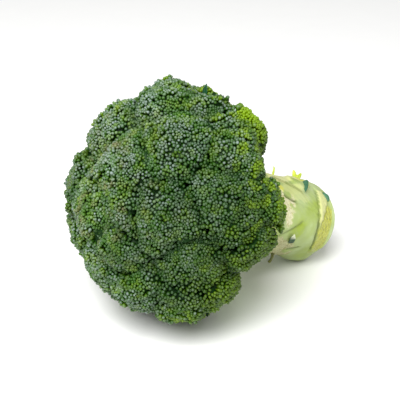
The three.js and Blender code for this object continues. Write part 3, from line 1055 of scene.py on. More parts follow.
        # Young buds stand in the rosettes' middles, low on a floret, in the young places and
        # in small groups, and there are more of them by the rim.
        rosette_youth = 0.12 + 1.7 * self.draw.uniform(size=len(self.rosettes))[rosette] ** 2
        youth = rosette_youth * (0.3 + 0.8 * rim) * fade(off_middle, 2.2 * MM)
        youth += (0.25 + 0.4 * rim) * low + YELLOW_FLORETS.get(self.node, 0.0)
        youth += 0.22 * rim * smooth_step(0.1, 0.9, ripple(points, 9 * MM, 21))
        youth += 0.55 * smooth_step(*RIM_EDGE_ANGLES, polar)
        youth += around_places(points, YOUNG_PLACES)
        youth += (0.3 + 0.9 * rim) * smooth_step(0.25, 0.7, ripple(points, 5 * MM, 22))
        youth *= 1 + self.draw.normal(scale=0.25, size=count)

        # The brown-purple tint lies on the apex, and thinly in wide patches away from the rim.
        tint = apex * rosette_youth * fade(off_middle, 2.6 * MM)
        tint += 0.25 * apex * smooth_step(0.1, 1.0, ripple(points, 7 * MM, 31))
        tint += 0.22 * smooth_step(0.0, 1.0, ripple(points, 12 * MM, 32)) * (1 - rim)
        tint *= self.draw.uniform(0.2, 0.8, count)

        # The bloom is thinner by the rim and heavier on the lit upper side, where it also stands
        # for painted light. It is missing in the grooves and the valleys, partly as the buds'
        # greener colour there and partly as painted shade.
        tone = 0.66 - 0.5 * rim + 0.35 * ripple(points, 20 * MM, 41)
        tone += around_places(points, BLOOM_AND_LIGHT_PLACES)
        tone += 0.45 * ripple(points, 6 * MM, 42) + self.draw.normal(scale=0.3, size=count)
        valley = 0.4 + 0.6 * smooth_step(0, 4 * MM, by_cut)
        tone = np.clip(tone, 0, 1) * smooth_step(-0.6 * MM, 1.6 * MM, off_edge) * valley

        # Painted shade: the buds are darker away from the heavy bloom and the lit upper side, in
        # the shade places and in the valleys between the florets.
        shade = SHADE_AWAY_FROM_LIT_SIDE * (1 - around_places(points, BLOOM_AND_LIGHT_PLACES) / HEAVY_BLOOM_AND_LIGHT)
        shade += around_places(points, SHADE_PLACES) + 0.12 * ripple(points, 26 * MM, 51)
        shade += 0.2 * smooth_step(4 * MM, 0.5 * MM, by_cut)
        shade += self.draw.normal(scale=0.06, size=count)
        return {"bud_youth": youth, "bud_tint": tint, "bud_tone": tone, "bud_shade": shade}

    def pedicels(self, ways, centres, size, low):
        """Short yellow-green stems that hold the lowest buds out from the fan."""
        chosen = np.flatnonzero((low > 0.25) & (self.draw.uniform(size=len(low)) < 0.8))
        shapes = []
        for place in chosen:
            foot_way = unit(ways[place] - 0.35 * self.axis)
            foot = self.centre + foot_way * self.radius * 0.78
            if self.inside(foot[None])[0] < 0.8 * MM or foot[2] < 1 * MM:
                continue
            end = centres[place] - ways[place] * size[place] * 0.6
            bend = (foot + end) / 2 + 0.08 * (foot - self.centre)
            path = curve_through([foot, bend, end], len(PEDICEL_RADII))
            shapes.append(round_tube(path, PEDICEL_RADII, 5, material=2, stem_share=1.0))
        return shapes

    def ribs(self):
        """The stems of the fan. Each runs up from the neck and forks before the rim."""
        if self.polar < math.radians(40):
            return []
        count = max(8, round(self.radius / MM * 0.5))
        turns = FULL_TURN * (np.arange(count) + self.draw.uniform(-0.22, 0.22, count)) / count
        shapes = []
        for turn in turns:
            fork = self.draw.uniform(0.35, 0.6)
            for lean in (-1, 1):
                rib = self.rib(turn, fork, lean * math.pi / count * 0.9)
                if rib:
                    shapes.append(rib)
        return shapes

    def rib(self, turn, fork, lean):
        """One prong of a rib, which leans aside past the fork. None where there is no room."""
        shares = np.linspace(0.02, 1.03, RIB_STEPS)
        height = self.neck_height + shares * (self.rim_height - self.neck_height)
        spread = np.maximum(shares - fork, 0) / (1 - fork) * lean
        around = turn + spread + 0.05 * np.sin(5 * shares + turn * 3)
        out = turned(around, self.basis[0], self.basis[1])
        on_axis = self.centre + height[:, None] * self.axis
        thick = (2.3 - 1.1 * shares) * MM * self.radius / (24 * MM)
        surface = self.reach(on_axis, out)
        if np.min(surface) < 0.8 * thick.min():
            return None
        path = on_axis + out * (surface - 0.45 * thick)[:, None]
        return round_tube(path, thick, RIB_SIDES, material=1, stem_share=1.0)


def solid_middle(node):
    """The middle of a CAD solid, by volume."""
    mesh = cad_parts[node].data
    mesh.calc_loop_triangles()
    points = node_points(node)
    corners = points[np.array([list(face.vertices) for face in mesh.loop_triangles])]
    volumes = np.einsum("ij,ij->i", corners[:, 0], np.cross(corners[:, 1], corners[:, 2])) / 6
    middles = corners.sum(axis=1) / 4
    return (middles * volumes[:, None]).sum(axis=0) / volumes.sum()


def keep_apart(points, apart):
    """Goes through the points in order and keeps each that is far enough from those kept."""
    kept = np.zeros(len(points), bool)
    held = np.empty_like(points)
    count = 0
    for place, point in enumerate(points):
        near = ((held[:count] - point) ** 2).sum(axis=1) < apart[place] ** 2
        if not near.any():
            held[count] = point
            kept[place] = True
            count += 1
    return kept


def globe(points, rows, columns, material, **values):
    """A closed surface over rows of points and the two poles, which come last."""
    (a, b, c, d), row, x0, x1 = cells(rows - 1, columns)
    y0, y1 = (row + 1) / rows, (row + 2) / rows
    faces = [np.stack([a, c, d], 1), np.stack([a, d, b], 1)]
    places = [
        corners_on_map((x0, y0), (x0, y1), (x1, y1)),
        corners_on_map((x0, y0), (x1, y1), (x1, y0))]
    step = np.arange(columns)
    after = (step + 1) % columns
    x0, x1, half = step / columns, (step + 1) / columns, (step + 0.5) / columns
    top, bottom = len(points) - 2, len(points) - 1
    last = (rows - 2) * columns
    faces.append(np.stack([np.full(columns, top), step, after], 1))
    places.append(corners_on_map((half, 0.0), (x0, 1 / rows), (x1, 1 / rows)))
    faces.append(np.stack([np.full(columns, bottom), last + after, last + step], 1))
    places.append(corners_on_map((half, 1.0), (x1, 1 - 1 / rows), (x0, 1 - 1 / rows)))
    return Shape(points, np.vstack(faces), np.concatenate(places), material, **values)


def bud_pattern():
    """One bud: its points in bud radii, faces, and the corners' places in its cell of the map."""
    points, heights, places = [], [], []
    for number, (radius, height, share) in enumerate(BUD_RINGS):
        circle = circle_of(FULL_TURN * (np.arange(BUD_SIDES) + 0.5 * (number % 2)) / BUD_SIDES)
        points.append(np.column_stack([radius * circle, np.full(BUD_SIDES, height)]))
        heights += [share] * BUD_SIDES
        places.append(0.5 + BUD_RINGS_ON_MAP[number] * circle)
    points = np.vstack(points + [[[0, 0, BUD_TOP]]])
    places = np.vstack(places + [[[0.5, 0.5]]])
    heights = np.array(heights + [1.0])
    top = len(points) - 1
    faces = []
    for ring in range(len(BUD_RINGS) - 1):
        for step in range(BUD_SIDES):
            after = (step + 1) % BUD_SIDES
            a, b = ring * BUD_SIDES + step, ring * BUD_SIDES + after
            c, d = a + BUD_SIDES, b + BUD_SIDES
            faces += [(a, b, c), (b, d, c)] if ring % 2 == 0 else [(a, b, d), (a, d, c)]
    last = (len(BUD_RINGS) - 1) * BUD_SIDES
    for step in range(BUD_SIDES):
        faces.append((last + step, last + (step + 1) % BUD_SIDES, top))
    corners = [[places[corner] for corner in face] for face in faces]
    foot = 0.93 + 0.06 * circle
    for step in range(1, BUD_SIDES - 1):
        faces.append((0, step + 1, step))
        corners.append([foot[0], foot[step + 1], foot[step]])
    return points, heights, np.array(faces), np.array(corners)


def bud_shapes(centres, axes, sizes, spins):
    """A bud at each centre, in rows of cells on the map."""
    points, heights, faces, corners = bud_pattern()
    rows = frames_on(axes, spins)
    oval = 0.1 * np.sin(3 * spins)
    stretch = np.stack([1 + oval, 1 - oval, 1.05 + 0.15 * np.sin(5 * spins)], 1)
    rows = rows * stretch[..., None]
    placed = np.einsum("pk,nkx->npx", points, rows) * sizes[:, None, None] + centres[:, None]
    count = len(centres)
    all_faces = faces[None] + (np.arange(count) * len(points))[:, None, None]
    columns = math.ceil(math.sqrt(count))
    row, column = np.divmod(np.arange(count), columns)
    cell = np.stack([column, row], 1)[:, None, None] / columns
    all_corners = cell + corners[None] / columns
    return Shape(
        placed.reshape(-1, 3), all_faces.reshape(-1, 3), all_corners.reshape(-1, 3, 2),
        bud_height=np.tile(heights, count))


class CrownSettings(bpy.types.PropertyGroup):
    bud_spacing: length_setting(
        "Bud spacing", "Distance between neighbouring buds", 1.52 * MM, 0.8 * MM, 5 * MM)
    rosette_spacing: length_setting(
        "Rosette spacing", "Distance between the middles of bud rosettes",
        9.5 * MM, 4 * MM, 30 * MM)
    rosette_height: length_setting(
        "Rosette height", "How far a rosette's middle stands above its edge",
        2.6 * MM, 0, 5 * MM)
    bud_colour: colour_setting("Bud colour", "Green of a bud's flank", 0.034, 0.108, 0.001)
    # Painted shade between the buds, at their feet.
    gap_shade_colour: colour_setting(
        "Gap colour", "Dark green between the buds", 0.010, 0.060, 0.001)
    # Painted shade: the colour the buds are mixed towards where the crown lies in shade.
    shade_colour: colour_setting(
        "Shade colour", "Deep green of the buds where the crown is darkest",
        0.001, 0.024, 0.001)
    # Paints the buds' tops: partly waxy bloom, partly a painted highlight.
    bloom_colour: colour_setting(
        "Bloom colour", "Blue-grey of a bud's waxy top", 0.255, 0.31, 0.305)
    young_colour: colour_setting(
        "Young bud colour", "Yellow-green of the youngest buds", 0.165, 0.285, 0.001)
    tint_colour: colour_setting(
        "Apex tint", "Brown-purple tint near the crown's apex", 0.125, 0.12, 0.05)
    # Painted shade: the dark green of the bare shoots between the buds.
    shoot_colour: colour_setting(
        "Shoot colour", "Dark green of the shoots under the buds", 0.004, 0.026, 0.002)


# Parts of a floret piece's map: left, low, right and high edge.
BODY_MAP = (0.01, 0.005, 0.99, 0.2)
STEMS_MAP = (0, 0.21, 1, 0.32)
BUDS_MAP = (0.16, 0.325, 0.835, 1.0)


class BROCCOLI_OT_florets(bpy.types.Operator):
    """Covers every floret's dome with rosettes of buds, above a fan of stems"""

    bl_idname = "broccoli.florets"
    bl_label = "Florets"

    def execute(self, context):
        settings = context.scene.broccoli_crown
        materials = [bud_material(), core_material(), core_material()]
        florets = [Floret(name, settings) for names in BRANCHES.values() for name in names]
        for floret in florets:
            floret.meet(florets)
            buds, *lowest = floret.buds()
            body = floret.body().moved_on_map(*BODY_MAP)
            stems = in_grid(floret.ribs() + floret.pedicels(*lowest), *STEMS_MAP)
            buds.moved_on_map(*BUDS_MAP)
            whole = joined([buds, body] + stems)
            piece_from(whole, floret.node + "_buds", materials, "buds", floret.node)
        return {"FINISHED"}


# ---- Branches -----------------------------------------------------------------------------


LIMB_STEPS, LIMB_SIDES = 22, 20
LIMB_FOOT = 12 * MM      # from where every branch starts to a limb's own start
LIMB_BEND = 27 * MM      # from the same place to its bend
LIMB_RUN_IN = 7 * MM     # straight stretch on each side of the floret's neck


def limb_shape(branch_mean, floret):
    """A limb from inside the stalk's head into its floret, wider at its foot and its neck."""
    start = FORK_START + LIMB_FOOT * branch_mean
    bend = FORK_START + LIMB_BEND * unit(branch_mean + 0.35 * floret.axis)
    below = floret.neck - LIMB_RUN_IN * floret.axis
    end = floret.neck + LIMB_RUN_IN * floret.axis
    path = curve_through([start, bend, below, end], LIMB_STEPS)
    share = np.linspace(0, 1, LIMB_STEPS)
    radii = 5.6 + 3.2 * (1 - share) ** 1.5 + 1.3 * smooth_step(0.6, 0.82, share)
    radii = (radii - 3.4 * smooth_step(0.86, 1, share)) * MM
    shape = round_tube(path, radii, LIMB_SIDES)
    rings = shape.points[:-2].reshape(LIMB_STEPS, LIMB_SIDES, 3)
    turns = FULL_TURN * np.arange(LIMB_SIDES) / LIMB_SIDES
    flutes = 1 + 0.05 * np.cos(5 * turns)[None] + 0.035 * ripple(rings, 9 * MM, 51)
    rings[:] = path[:, None] + (rings - path[:, None]) * flutes[..., None]
    return shape


class StemSettings(bpy.types.PropertyGroup):
    stem_colour: colour_setting(
        "Branch colour", "Pale green of the branches", 0.34, 0.50, 0.15)
    floret_stem_colour: colour_setting(
        "Floret stem colour", "Yellow-green of the stems below the buds", 0.27, 0.42, 0.06)
    bloom_colour: colour_setting("Bloom colour", "Waxy bloom on the stems", 0.55, 0.66, 0.42)


class BROCCOLI_OT_branches(bpy.types.Operator):
    """Grows the forked branches from the stalk's head to the florets' necks"""

    bl_idname = "broccoli.branches"
    bl_label = "Branches"

    def execute(self, context):
        crown = context.scene.broccoli_crown
        for branch, names in BRANCHES.items():
            florets = [Floret(name, crown) for name in names]
            mean = unit(sum(floret.axis for floret in florets))
            limbs = in_grid([limb_shape(mean, floret) for floret in florets], 0, 0, 1, 1)
            piece_from(joined(limbs), branch + "_skin", [stem_material()], "stem", branch)
        return {"FINISHED"}


# ---- Stalk --------------------------------------------------------------------------------

STALK_ROWS, STALK_COLUMNS = 200, 230
GRID_SEAM = math.radians(100)    # turn at which the skin's columns start and end
RIM_EDGE = 103.5                 # millimetres down the stalk, where its end rounds off
CUT_FACE_FROM = 100              # millimetres down the stalk, past which the cut face lies
RING_RADIUS = 16.5               # of the fibrous ring on the cut face, in millimetres

# Lines on the stalk's skin: millimetres down the stalk and degrees of turn.
SCAR_LINE = ((92.5, -27), (90.5, -45), (89.5, -62), (90.3, -78), (91.5, -98), (95.5, -124))
LEAF_FOLD = ((56, -12), (66, -20), (77, -34), (81, -48), (85, -58), (89, -66))
SECOND_FOLD = ((50, -24), (57, -36), (62, -44), (69, -52), (76, -56), (84, -60))
LOWER_FOLD = ((55, -125), (61, -107), (67, -95), (74, -82))
SLIT = ((60, -44), (64.5, -49), (69, -51.5))
LOW_NOTCH = ((77, -133), (81, -129), (84, -124))
WEDGE_LINE = ((101, -38), (98, -52), (95, -66), (92.5, -80))
END_RIM = ((103, -40), (106, -62), (107, -80), (106.5, -100), (104, -118))

# Patches of the skin: millimetres down the stalk, degrees of turn, then half the length along
# the stalk and half the width around it in millimetres. A fifth number is how strong one is.
FIBRE_PATCH = (99, -88, 8.5, 19)
TORN_PATCH = (58, -62, 9, 11)
YELLOW_PATCHES = ((56, -31, 5, 4.5), (54, -82, 5, 5), (86, -6, 5, 5))
# The pale patches are partly the skin's own paler colour and partly painted light on the stalk's
# upper side.
PALE_AND_LIT_PATCHES = (
    (62, -4, 13, 8, 1.0), (76, 4, 11, 6, 1.0), (69, -30, 11, 5, 0.55), (74, -42, 9, 4, 0.4))
DRY_PATCHES = ((66, -140, 13, 12), (76, -160, 8, 9))
FRESH_PATCHES = (
    (76, -78, 11, 9), (78, -12, 9, 6), (86, -58, 7, 6), (68, -108, 8, 6), (84, -88, 5, 9))
BLOOM_PATCHES = ((86, -105, 10, 12, 0.3), (84, -30, 8, 9, 0.35), (64, -78, 8, 8, 0.3))
END_BLOOM_PATCH = (92, -4, 13, 9, 0.6)
UPPER_KNUCKLE = (80, -10, 9, 9, 1.3)
UNDER_BASE = (102, 190, 20, 15, 3.3)
PLAIN_SCARS = ((70, 62, 9, 13), (88, 118, 8, 14), (64, 152, 7, 10), (98, 30, 6, 11))
SCAR_BORDER = 3.0    # millimetres from a plain scar's edge to its dip
PITH_BORDER = 2.6    # and to its dry middle


def stalk_profile(share):
    """Distance down the stalk and radius, from the head's tip (0) to the cut face's middle (1)."""
    tip, fork, end = TIP_ALONG / MM, FORK_ALONG / MM, STALK_LENGTH / MM
    radius = STALK_RADIUS / MM
    quarter = np.linspace(0, math.pi / 2, 24)
    head = np.stack([fork - (fork - tip) * np.cos(quarter), radius * np.sin(quarter)], 1)
    rim = np.array([
        (92, radius), (97, radius - 0.1), (103, radius - 0.7), (106.5, radius - 1.8),
        (108.7, radius - 3.2), (end - 0.25, radius - 5.0), (end, radius - 6.5), (end, 0.05)])
    outline = np.vstack([head, rim])
    lengths = np.concatenate([[0], np.cumsum(np.linalg.norm(np.diff(outline, axis=0), axis=1))])
    wanted = share * lengths[-1]
    return (np.interp(wanted, lengths, outline[:, 0]) * MM,
            np.interp(wanted, lengths, outline[:, 1]) * MM)


def skin_place(along_mm, turn_degrees):
    """A place on the unrolled skin, in millimetres."""
    return np.array([along_mm, STALK_RADIUS / MM * math.radians(turn_degrees)])


class StalkSkin:
    """The stalk's skin, point by point: its relief, and where each of its colours lies.

    Distances down the stalk, around it and from its axis are in millimetres here.
    """

    def __init__(self, along, arc, radius, turn, points):
        self.along, self.arc, self.radius, self.turn = along, arc, radius, turn
        self.degrees = np.degrees(turn)
        self.points = points
        self.wobble = 0.22 * ripple(points, 5 * MM, 61) + 0.12 * ripple(points, 2.2 * MM, 62)
        self.fine = ripple(points, 1.3 * MM, 63)
        self.on_side = smooth_step(14, 20, radius)
        self.on_face = smooth_step(20.5, 18, radius) * (along > CUT_FACE_FROM)

        self.scar, self.scar_side = self.from_line(SCAR_LINE)
        self.scar = self.scar + 0.12 * ripple(points, 4 * MM, 64)
        self.fold, self.fold_side = self.from_line(LEAF_FOLD)
        self.second, _ = self.from_line(SECOND_FOLD)
        self.lower, self.lower_side = self.from_line(LOWER_FOLD)
        self.slit, _ = self.from_line(SLIT)
        self.notch, _ = self.from_line(LOW_NOTCH)
        self.wedge, self.wedge_side = self.from_line(WEDGE_LINE)

        self.rim_edge = RIM_EDGE + 0.8 * self.wobble
        in_scar = (along > 88) * (self.scar_side * self.scar > 0.2)
        self.fibre = self.patch(FIBRE_PATCH, 0.5 * self.wobble) * in_scar
        self.fibre = self.fibre * smooth_step(self.rim_edge + 0.6, self.rim_edge - 0.6, along)
        self.torn = self.patch(TORN_PATCH, self.wobble)
        self.dry = self.widest(DRY_PATCHES, self.wobble)

    def from_line(self, line):
        """Distance from a line on the unrolled skin, and the side: positive towards the end."""
        corners = [skin_place(*corner) for corner in line]
        best = np.full(self.along.shape, np.inf)
        side = np.zeros(self.along.shape)
        for start, end in zip(corners[:-1], corners[1:]):
            way = end - start
            down, around = self.along - start[0], self.arc - start[1]
            share = np.clip((down * way[0] + around * way[1]) / (way @ way), 0, 1)
            over, across = down - share * way[0], around - share * way[1]
            distance = np.hypot(over, across)
            closer = distance < best
            best = np.where(closer, distance, best)
            side = np.where(closer, np.sign(over * -way[1] + across * way[0]), side)
        return best, side

    def off_middle(self, place):
        """How far points are from a patch's middle: 1 at its edge."""
        middle = skin_place(*place[:2])
        return np.hypot(
            (self.along - middle[0]) / place[2], (self.arc - middle[1]) / place[3])

    def patch(self, place, wobble=0.0, border=0.0):
        """1, or its strength, in an oval patch and 0 outside it. A border makes it smaller."""
        along, turn, length, width, *strength = place
        inner = (along, turn, length - border, width - border)
        share = 1 - smooth_step(0.75, 1.1, self.off_middle(inner) + wobble)
        return strength[0] * share if strength else share

    def widest(self, places, wobble, border=0.0):
        """Several patches as one."""
        return np.max([self.patch(place, wobble, border) for place in places], axis=0)

    def relief(self):
        """How far the skin stands proud of the plain stalk, in millimetres."""
        above_fold, past_scar = self.fold_side > 0, self.scar_side > 0
        relief = (0.45 * fade(self.fold, 7.5) + 0.3 * fade(self.fold, 1.3)) * above_fold
        relief -= 0.3 * fade(self.fold, 0.8) * ~above_fold + 0.3 * fade(self.second, 0.8)
        relief += 1.0 * fade(self.scar, 5.0) * past_scar - 0.9 * fade(self.scar, 0.7)
        relief -= 0.5 * fade(self.wedge, 1.0) * (self.wedge_side > 0) * self.fibre
        relief -= (0.4 + 0.28 * self.fine) * self.fibre
        relief += 0.9 * fade(self.from_line(END_RIM)[0], 1.4)
        relief -= 0.8 * fade(self.lower, 1.3) + 0.6 * fade(self.lower, 5) * (self.lower_side < 0)
        relief -= 1.9 * fade(self.slit, 0.75) + 1.2 * fade(self.notch, 0.8)
        relief -= (0.35 + 0.22 * self.fine) * self.torn
        relief -= (0.25 + 0.25 * self.fine) * self.dry
        relief += self.patch(UPPER_KNUCKLE)
        for place in PLAIN_SCARS:
            relief += 0.9 * self.patch(place, 0.3 * self.wobble)
            relief -= 1.2 * self.patch(place, border=SCAR_BORDER)
        relief += self.under_base()
        relief += 0.5 * np.cos(5 * self.turn + 0.4) * smooth_step(108, 80, self.along)
        relief += 0.35 * ripple(self.points, 12 * MM, 65) + 0.05 * self.fine
        return relief * self.on_side + 0.12 * self.fine * self.on_face

    def under_base(self):
        """The swelling that the stalk lies on. It crosses the turn of 180 degrees."""
        along, turn, length, width, height = UNDER_BASE
        swelling = np.zeros(self.along.shape)
        for middle_turn in (turn, turn - 360):
            away = self.off_middle((along, middle_turn, length, width))
            swelling += height * (1 - smooth_step(0.25, 1.05, away))
        return swelling

    def creases_and_shade(self):
        """The dark lines: scars, folds, the slit and the notch, with painted shade beside the scar
        and along the stalk's lower side.
        """
        into_scar = self.scar_side > 0
        return np.max([
            (0.55 + 0.35 * smooth_step(-60, -85, self.degrees)) * fade(self.scar, 0.6),
            # Painted shade beside the scar line and along the stalk's lower side.
            0.3 * fade(self.scar, 2.5) * (self.scar_side < 0),
            0.22 * smooth_step(-85, -125, self.degrees),
            0.6 * fade(self.fold, 0.55) * (1 - 0.7 * smooth_step(75, 82, self.along)),
            0.4 * fade(self.second, 0.6) * (1 - smooth_step(66, 74, self.along)),
            0.5 * fade(self.lower, 1.1),
            fade(self.slit, 0.9),
            0.9 * fade(self.notch, 0.9),
            0.4 * fade(self.wedge, 0.8) * into_scar * (self.along > 91),
            0.35 * self.fibre * smooth_step(0.3, 1.0, self.fine)], axis=0)

    def pale_cut(self):
        """The smooth part of the leaf scar near the end, above its fibres."""
        inside = (self.scar_side > 0) * (self.wedge_side < 0) * (self.scar > 0.4)
        inside = inside * (self.along < self.rim_edge) * (self.degrees < -26)
        return inside * smooth_step(-92, -70, self.degrees)

    def bloom(self):
        """How much waxy bloom is left on the skin."""
        at_rim = smooth_step(self.rim_edge - 0.5, self.rim_edge + 0.7, self.along)
        at_rim = at_rim * smooth_step(-20, -45, self.degrees)
        at_rim = at_rim * smooth_step(-140, -115, self.degrees)
        bloom = 0.35 + 0.4 * ripple(self.points, 10 * MM, 66) + 0.7 * at_rim
        for place in BLOOM_PATCHES:
            bloom += self.patch(place)
        return bloom + self.patch(END_BLOOM_PATCH, self.wobble)

    def masks(self):
        """Where each of the skin's colours lies, from 0 to 1."""
        scarred = self.widest(PLAIN_SCARS, 0.3 * self.wobble, PITH_BORDER)
        ring = fade(self.radius - RING_RADIUS, 1.3) * (self.along > CUT_FACE_FROM)
        yellow = self.widest(YELLOW_PATCHES, self.wobble)
        fresh = self.widest(FRESH_PATCHES, 1.6 * self.wobble)
        pale = np.maximum(self.pale_cut(), self.widest(PALE_AND_LIT_PATCHES, self.wobble))
        rough = self.fibre + self.torn + self.dry + scarred
        side = self.on_side
        return {
            "fibre": np.clip(np.maximum(self.fibre, scarred), 0, 1) * side + 0.55 * ring,
            # The pale mask holds the smooth cut and painted light on the stalk's upper side.
            "wedge": 0.85 * pale * side,
            "yellow": 0.8 * yellow * side,
            "torn": self.torn * side,
            "dry": 0.9 * self.dry * side,
            "fresh": 0.75 * fresh * side,
            "pith": 0.8 * self.on_face * (1 - 0.6 * ring),
            # The crease mask also holds painted shade on the lower side and beside the scar.
            "crease": np.clip(self.creases_and_shade(), 0, 1) * side + 0.15 * ring,
            "bloom": np.clip(self.bloom(), 0, 0.85) * side * (1 - self.fibre),
            "rough": np.clip(rough, 0, 1) * side + 0.6 * self.on_face,
        }


class StalkSettings(bpy.types.PropertyGroup):
    skin_colour: colour_setting(
        "Skin colour", "Pale green of the stalk's skin", 0.306, 0.396, 0.0765)
    bloom_colour: colour_setting("Bloom colour", "Whitish bloom on the skin", 0.45, 0.54, 0.27)
    fresh_colour: colour_setting(
        "Fresh colour", "Brighter green where the bloom is wiped off", 0.297, 0.396, 0.0315)
    fibre_colour: colour_setting(
        "Fibre colour", "Cut fibres of a leaf's base", 0.522, 0.54, 0.108)
    fibre_dark_colour: colour_setting(
        "Fibre shade", "Between the cut fibres", 0.378, 0.387, 0.0495)
    pale_cut_and_lit_colour: colour_setting(
        # Also paints light on the stalk's upper side.
        "Pale cut colour", "Smooth pale part of the cut", 0.666, 0.675, 0.297)
    yellow_colour: colour_setting("Yellow colour", "Yellowed skin", 0.612, 0.603, 0.072)
    torn_colour: colour_setting(
        "Torn colour", "Whitish flesh where the skin is torn", 0.72, 0.693, 0.45)
    torn_dark_colour: colour_setting(
        "Torn shade", "Yellow-brown in the torn flesh", 0.45, 0.414, 0.135)
    dry_colour: colour_setting("Dry colour", "Beige dried skin", 0.594, 0.567, 0.324)
    dry_dark_colour: colour_setting("Dry shade", "Brown in the dried skin", 0.306, 0.234, 0.09)
    pith_colour: colour_setting(
        "Pith colour", "Moist pale pith of the cut end", 0.504, 0.558, 0.306)
    # Also painted as shade on the stalk's lower side and beside the scar.
    crease_and_shade_colour: colour_setting(
        "Crease colour", "Olive in the folds and scar lines", 0.09, 0.117, 0.018)


class BROCCOLI_OT_stalk(bpy.types.Operator):
    """Makes the stalk's skin with its folds, leaf scars, torn places and cut end"""

    bl_idname = "broccoli.stalk"
    bl_label = "Stalk"

    def execute(self, context):
        along, radius = stalk_profile(np.arange(1, STALK_ROWS) / STALK_ROWS)
        turn = -FULL_TURN * np.arange(STALK_COLUMNS) / STALK_COLUMNS + GRID_SEAM
        turn = (turn + math.pi) % FULL_TURN - math.pi
        slope_along, slope_radius = np.gradient(along), np.gradient(radius)
        along, turn = np.meshgrid(along, turn, indexing="ij")
        radius = np.broadcast_to(radius[:, None], along.shape)
        out = direction(math.pi / 2, turn)
        poles = np.array([
            CENTRE - TIP_ALONG * CROWN_AXIS, CENTRE - STALK_LENGTH * CROWN_AXIS])
        points = CENTRE - along[..., None] * CROWN_AXIS + radius[..., None] * out
        arc = STALK_RADIUS / MM * turn
        skin = StalkSkin(along / MM, arc, radius / MM, turn, points)
        steep = np.hypot(slope_along, slope_radius)
        normal = (slope_along / steep)[:, None, None] * out + (
            slope_radius / steep)[:, None, None] * CROWN_AXIS
        points = (points + MM * skin.relief()[..., None] * normal).reshape(-1, 3)
        values = {
            name: np.append(mask.ravel(), mask[[0, -1], 0])
            for name, mask in skin.masks().items()}
        shape = globe(np.vstack([points, poles]), STALK_ROWS, STALK_COLUMNS, 0, **values)
        shape.moved_on_map(0.005, 0.005, 0.995, 0.995)
        piece_from(
            shape, "stalk_skin", [stalk_material()], "stalk_skin",
            "stalk", "leaf_base_upper", "leaf_base_end", "leaf_base_under")
        return {"FINISHED"}


# ---- Leaf scraps --------------------------------------------------------------------------


def skin_frame(along_mm, turn_degrees):
    """A point on the stalk's skin, with the directions out of it, to the crown and across."""
    out = direction(math.pi / 2, math.radians(turn_degrees))
    foot = CENTRE - along_mm * MM * CROWN_AXIS + STALK_RADIUS * out
    return foot, out, np.cross(CROWN_AXIS, out)


BLADE_COLUMNS = 9
BLADE_THICKNESS = 0.8 * MM


def blade(foot, rise, across, outline, curl, thick=BLADE_THICKNESS, vein=0.25):
    """A closed leaf blade. The outline gives left and right edges, in metres, at each height."""
    face = np.cross(across, rise)
    rows = len(outline)
    share = np.linspace(-1, 1, BLADE_COLUMNS)
    middle = []
    for row, (height, left, right) in enumerate(outline):
        place = np.interp(share, (-1, 1), (left, right))
        bend = curl * (row / (rows - 1)) ** 2 + 0.35 * curl * share ** 2
        middle.append(foot + height * rise + place[:, None] * across + bend[:, None] * face)
    middle = np.array(middle)
    thin = thick * (0.35 + 0.65 * (1 - share ** 2))[None, :, None]
    front, back = middle + face * thin / 2, middle - face * thin / 2
    shape = tube(np.concatenate([front, back[:, ::-1]], axis=1))
    strength = vein * fade(np.concatenate([share, share[::-1]]), 0.12)
    shape.values["vein"] = np.append(np.tile(strength, rows), [0, 0])
    return shape


def skin_points(*places):
    """Points by the stalk's skin, each millimetres down it, degrees of turn and millimetres off."""
    points = []
    for along, turn, off in places:
        foot, out, _ = skin_frame(along, turn)
        points.append(foot + off * MM * out)
    return np.array(points)


def laid_blade(foot, tip, lifts, outline, curl, lean):
    """A blade from one place on the skin to another, standing off it by the two lifts.

    The outline's heights are shares of the blade's length, and its edges are in millimetres.
    The right one is towards the cut end. Its lean off the skin is in degrees.
    """
    start, end = skin_points((*foot, lifts[0]), (*tip, lifts[1]))
    length = np.linalg.norm(end - start)
    rise = (end - start) / length
    off = (start + end) / 2 - CENTRE
    off = unit(off - (off @ CROWN_AXIS) * CROWN_AXIS)
    flat = unit(np.cross(rise, off))
    flat = -flat * np.sign(flat @ CROWN_AXIS)
    across = turned(math.radians(lean), flat, off)
    across = unit(across - (across @ rise) * rise)
    rows = [(share * length, left * MM, right * MM) for share, left, right in outline]
    return blade(start, rise, across, rows, curl)


def curled_face(shape, turn_degrees):
    """1 on the pale side of a curled blade and 0 on its dark side."""
    _, _, across = skin_frame(0, turn_degrees)
    over = (shape.points - shape.points.mean(axis=0)) @ unit(across + 0.2 * CROWN_AXIS)
    return smooth_step(-0.3 * MM, 0.6 * MM, over)


class LeafSettings(bpy.types.PropertyGroup):
    leaf_colour: colour_setting(
        "Leaf colour", "Dark blue-green of the leaf scraps", 0.018, 0.095, 0.035)
    leaf_bloom_colour: colour_setting(
        "Leaf bloom", "Waxy bloom on the dark scraps", 0.10, 0.24, 0.15)
    shaded_colour: colour_setting(
        "Shaded leaf colour", "Dark green of the curled scrap and the leaf tip",
        0.005, 0.052, 0.016)
    young_leaf_colour: colour_setting(
        "Young leaf colour", "Bright yellow-green of the young scraps", 0.50, 0.62, 0.03)
    young_bloom_colour: colour_setting(
        "Young leaf bloom", "Paler bloom on the young scraps", 0.72, 0.80, 0.18)
    # The pale colour of one side of the curled scrap.
    pale_side_colour: colour_setting(
        "Inner leaf colour", "Whitish inner face of the curled scrap", 0.70, 0.74, 0.52)
    shoot_colour: colour_setting(
        "Side shoot colour", "Olive-brown of the side shoot's stem", 0.16, 0.14, 0.03)


